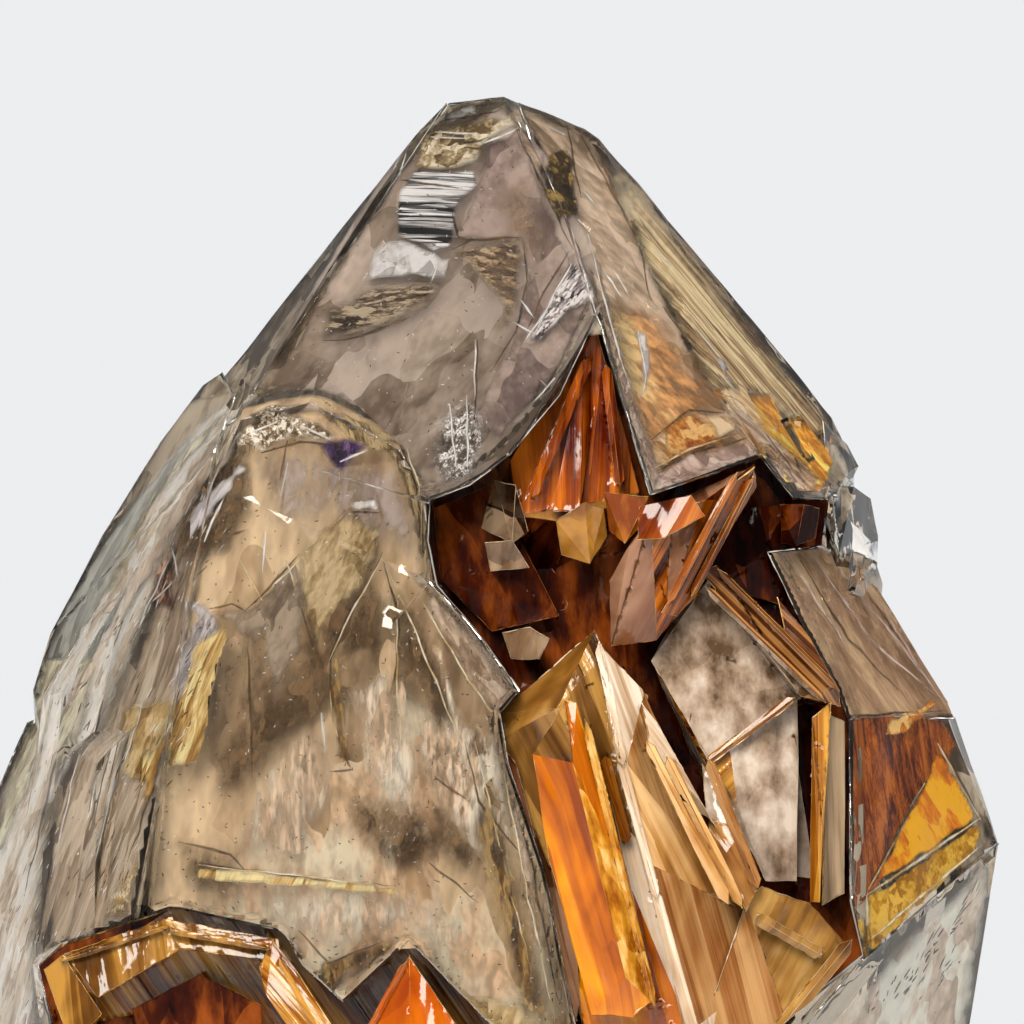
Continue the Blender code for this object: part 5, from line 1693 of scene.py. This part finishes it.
def left_rim() -> list[Veil | Seams | Scatter]:
    """Lists what lies behind the long grey rim at the left."""
    face = Face.RIM
    whole = trace(236, 424, 210, 620, 160, 900, 60, 1100, -30, 1100, 40, 700, 130, 560)
    return [
        Veil("rim_backing", face, trace(260, 380, 160, 400, 60, 540, 0, 660, -60, 900, -60, 1300,
            150, 1300, 150, 700, 240, 440), 6.0, BACKING, fade=0.3, step=0.6),
        Veil("rim_grey", face, trace(418, 132, 332, 252, 204, 388, 104, 540, 32, 692, -38, 884,
            -38, 1104, 32, 1104, 60, 824, 160, 584, 236, 416), 3.0, RIM_GREY, 0.6, 1.4,
            stretch=5.0),
        Veil("rim_brown", face, trace(232, 424, 164, 576, 64, 816, 28, 1104, 140, 1104, 142, 864,
            192, 584), 2.7, RIM_BROWN, 0.5, 1.4, stretch=5.0, fade=0.3),
        Veil("rim_outer", face, trace(172, 436, 192, 424, 140, 530, 92, 620, 62, 668, 36, 664,
            60, 600, 110, 516), 2.5, GREY_GLASS, fade=0.4),
        Veil("rim_light", face, trace(192, 424, 226, 400, 204, 440, 150, 510, 130, 560, 96, 610,
            108, 570, 150, 484), 2.4, OLIVE_PALE, fade=0.35),
        Veil("rim_lilac", face, trace(242, 420, 232, 444, 196, 500, 150, 572, 118, 626, 100, 622,
            150, 540, 200, 452), 2.3, LILAC_RIM, fade=0.2),
        # Painted shade: a dark sheet in the gap between the rim's bands.
        Veil("rim_gap_shade", face, trace(236, 432, 256, 450, 216, 470, 180, 530, 152, 566, 196, 496),
            2.2, SHADOW, fade=0.25),
        Veil("lower_outer", face, trace(34, 660, 76, 640, 66, 720, 34, 790, 6, 860, -12, 860,
            4, 760), 2.6, OLIVE_PALE, fade=0.4),
        Veil("golden_smooth", face, trace(116, 706, 168, 690, 160, 740, 142, 790, 114, 776,
            110, 730), 2.3, GOLD_MIST, fade=0.5),
        Veil("lilac_sliver", face, trace(164, 664, 186, 616, 172, 596, 200, 600, 214, 632,
            180, 700, 158, 706), 2.4, LILAC_BAR, fade=0.25),
        Veil("red_spot", face, trace(146, 606, 150, 566, 166, 546, 176, 572, 174, 612), 2.2,
            RED_SPOT, fade=0.3),
        Veil("straw_sliver", face, trace(170, 690, 186, 640, 218, 618, 222, 640, 206, 720,
            190, 762, 166, 766, 150, 798, 128, 802, 136, 760, 160, 720), 2.2, STRAW, fade=0.25),
        Veil("golden_grains", face, trace(164, 776, 174, 790, 152, 830, 134, 880, 112, 952,
            82, 960, 100, 900, 128, 840), 1.9, GRAINS, fade=0.6),
        # Painted highlights: white glinting flakes strewn behind the rim.
        Scatter(Veil("rim_glint_flakes", face, whole, 1.6, GLINT), 0.5, (0.1, 0.9), 0.06, 32.0, 14.0, 11),
        Scatter(Veil("rim_specks", face, whole, 1.7, CREASE), 0.8, (0.1, 0.8), 0.06, 32.0, 20.0,
            12),
        # Painted highlights: short white glints behind the rim.
        Seams("rim_glint_seams", face, 1.8, GLINT, (trace(170, 546, 176, 580), trace(150, 602,
            172, 580), trace(110, 640, 70, 760), trace(90, 760, 60, 880), trace(140, 700,
            100, 830), trace(166, 560, 130, 640), trace(46, 720, 24, 800)), 0.16),
        Seams("rim_dark_seams", face, 1.9, CREASE, (trace(232, 428, 186, 520, 150, 610),
            trace(120, 620, 60, 780, 30, 900), trace(176, 700, 120, 860), trace(216, 620, 200, 740,
            180, 800), trace(100, 700, 76, 780), trace(196, 500, 160, 580), trace(60, 860,
            44, 960)), 0.22),
    ]


def main() -> None:
    """Builds the studio, the point, its crusts and its inclusions, in that order."""
    logging.basicConfig(level=logging.INFO, format="%(message)s")
    noise.seed_set(NOISE_SEED)
    Studio().make()
    makers = [
        ClearPoint(),
        Crust("golden_crust", "golden_crystals", "golden_quartz", RED, EDGE_RUST, MAIN_ZONES),
        Crust("lower_crust", "amber_crystals", "amber_quartz", FRAME_GOLD, YELLOW_EDGE_HIGHLIGHT,
              LOWER_ZONES),
        Root(MILKY),
        *left_face(),
        *right_face(),
        *flank_and_panel(),
        *wall(),
        *left_rim(),
    ]
    for maker in makers:
        piece = maker.make()
        log.info("%s: %d faces", piece.name, len(piece.data.polygons))
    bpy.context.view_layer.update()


if __name__ == "__main__":
    main()
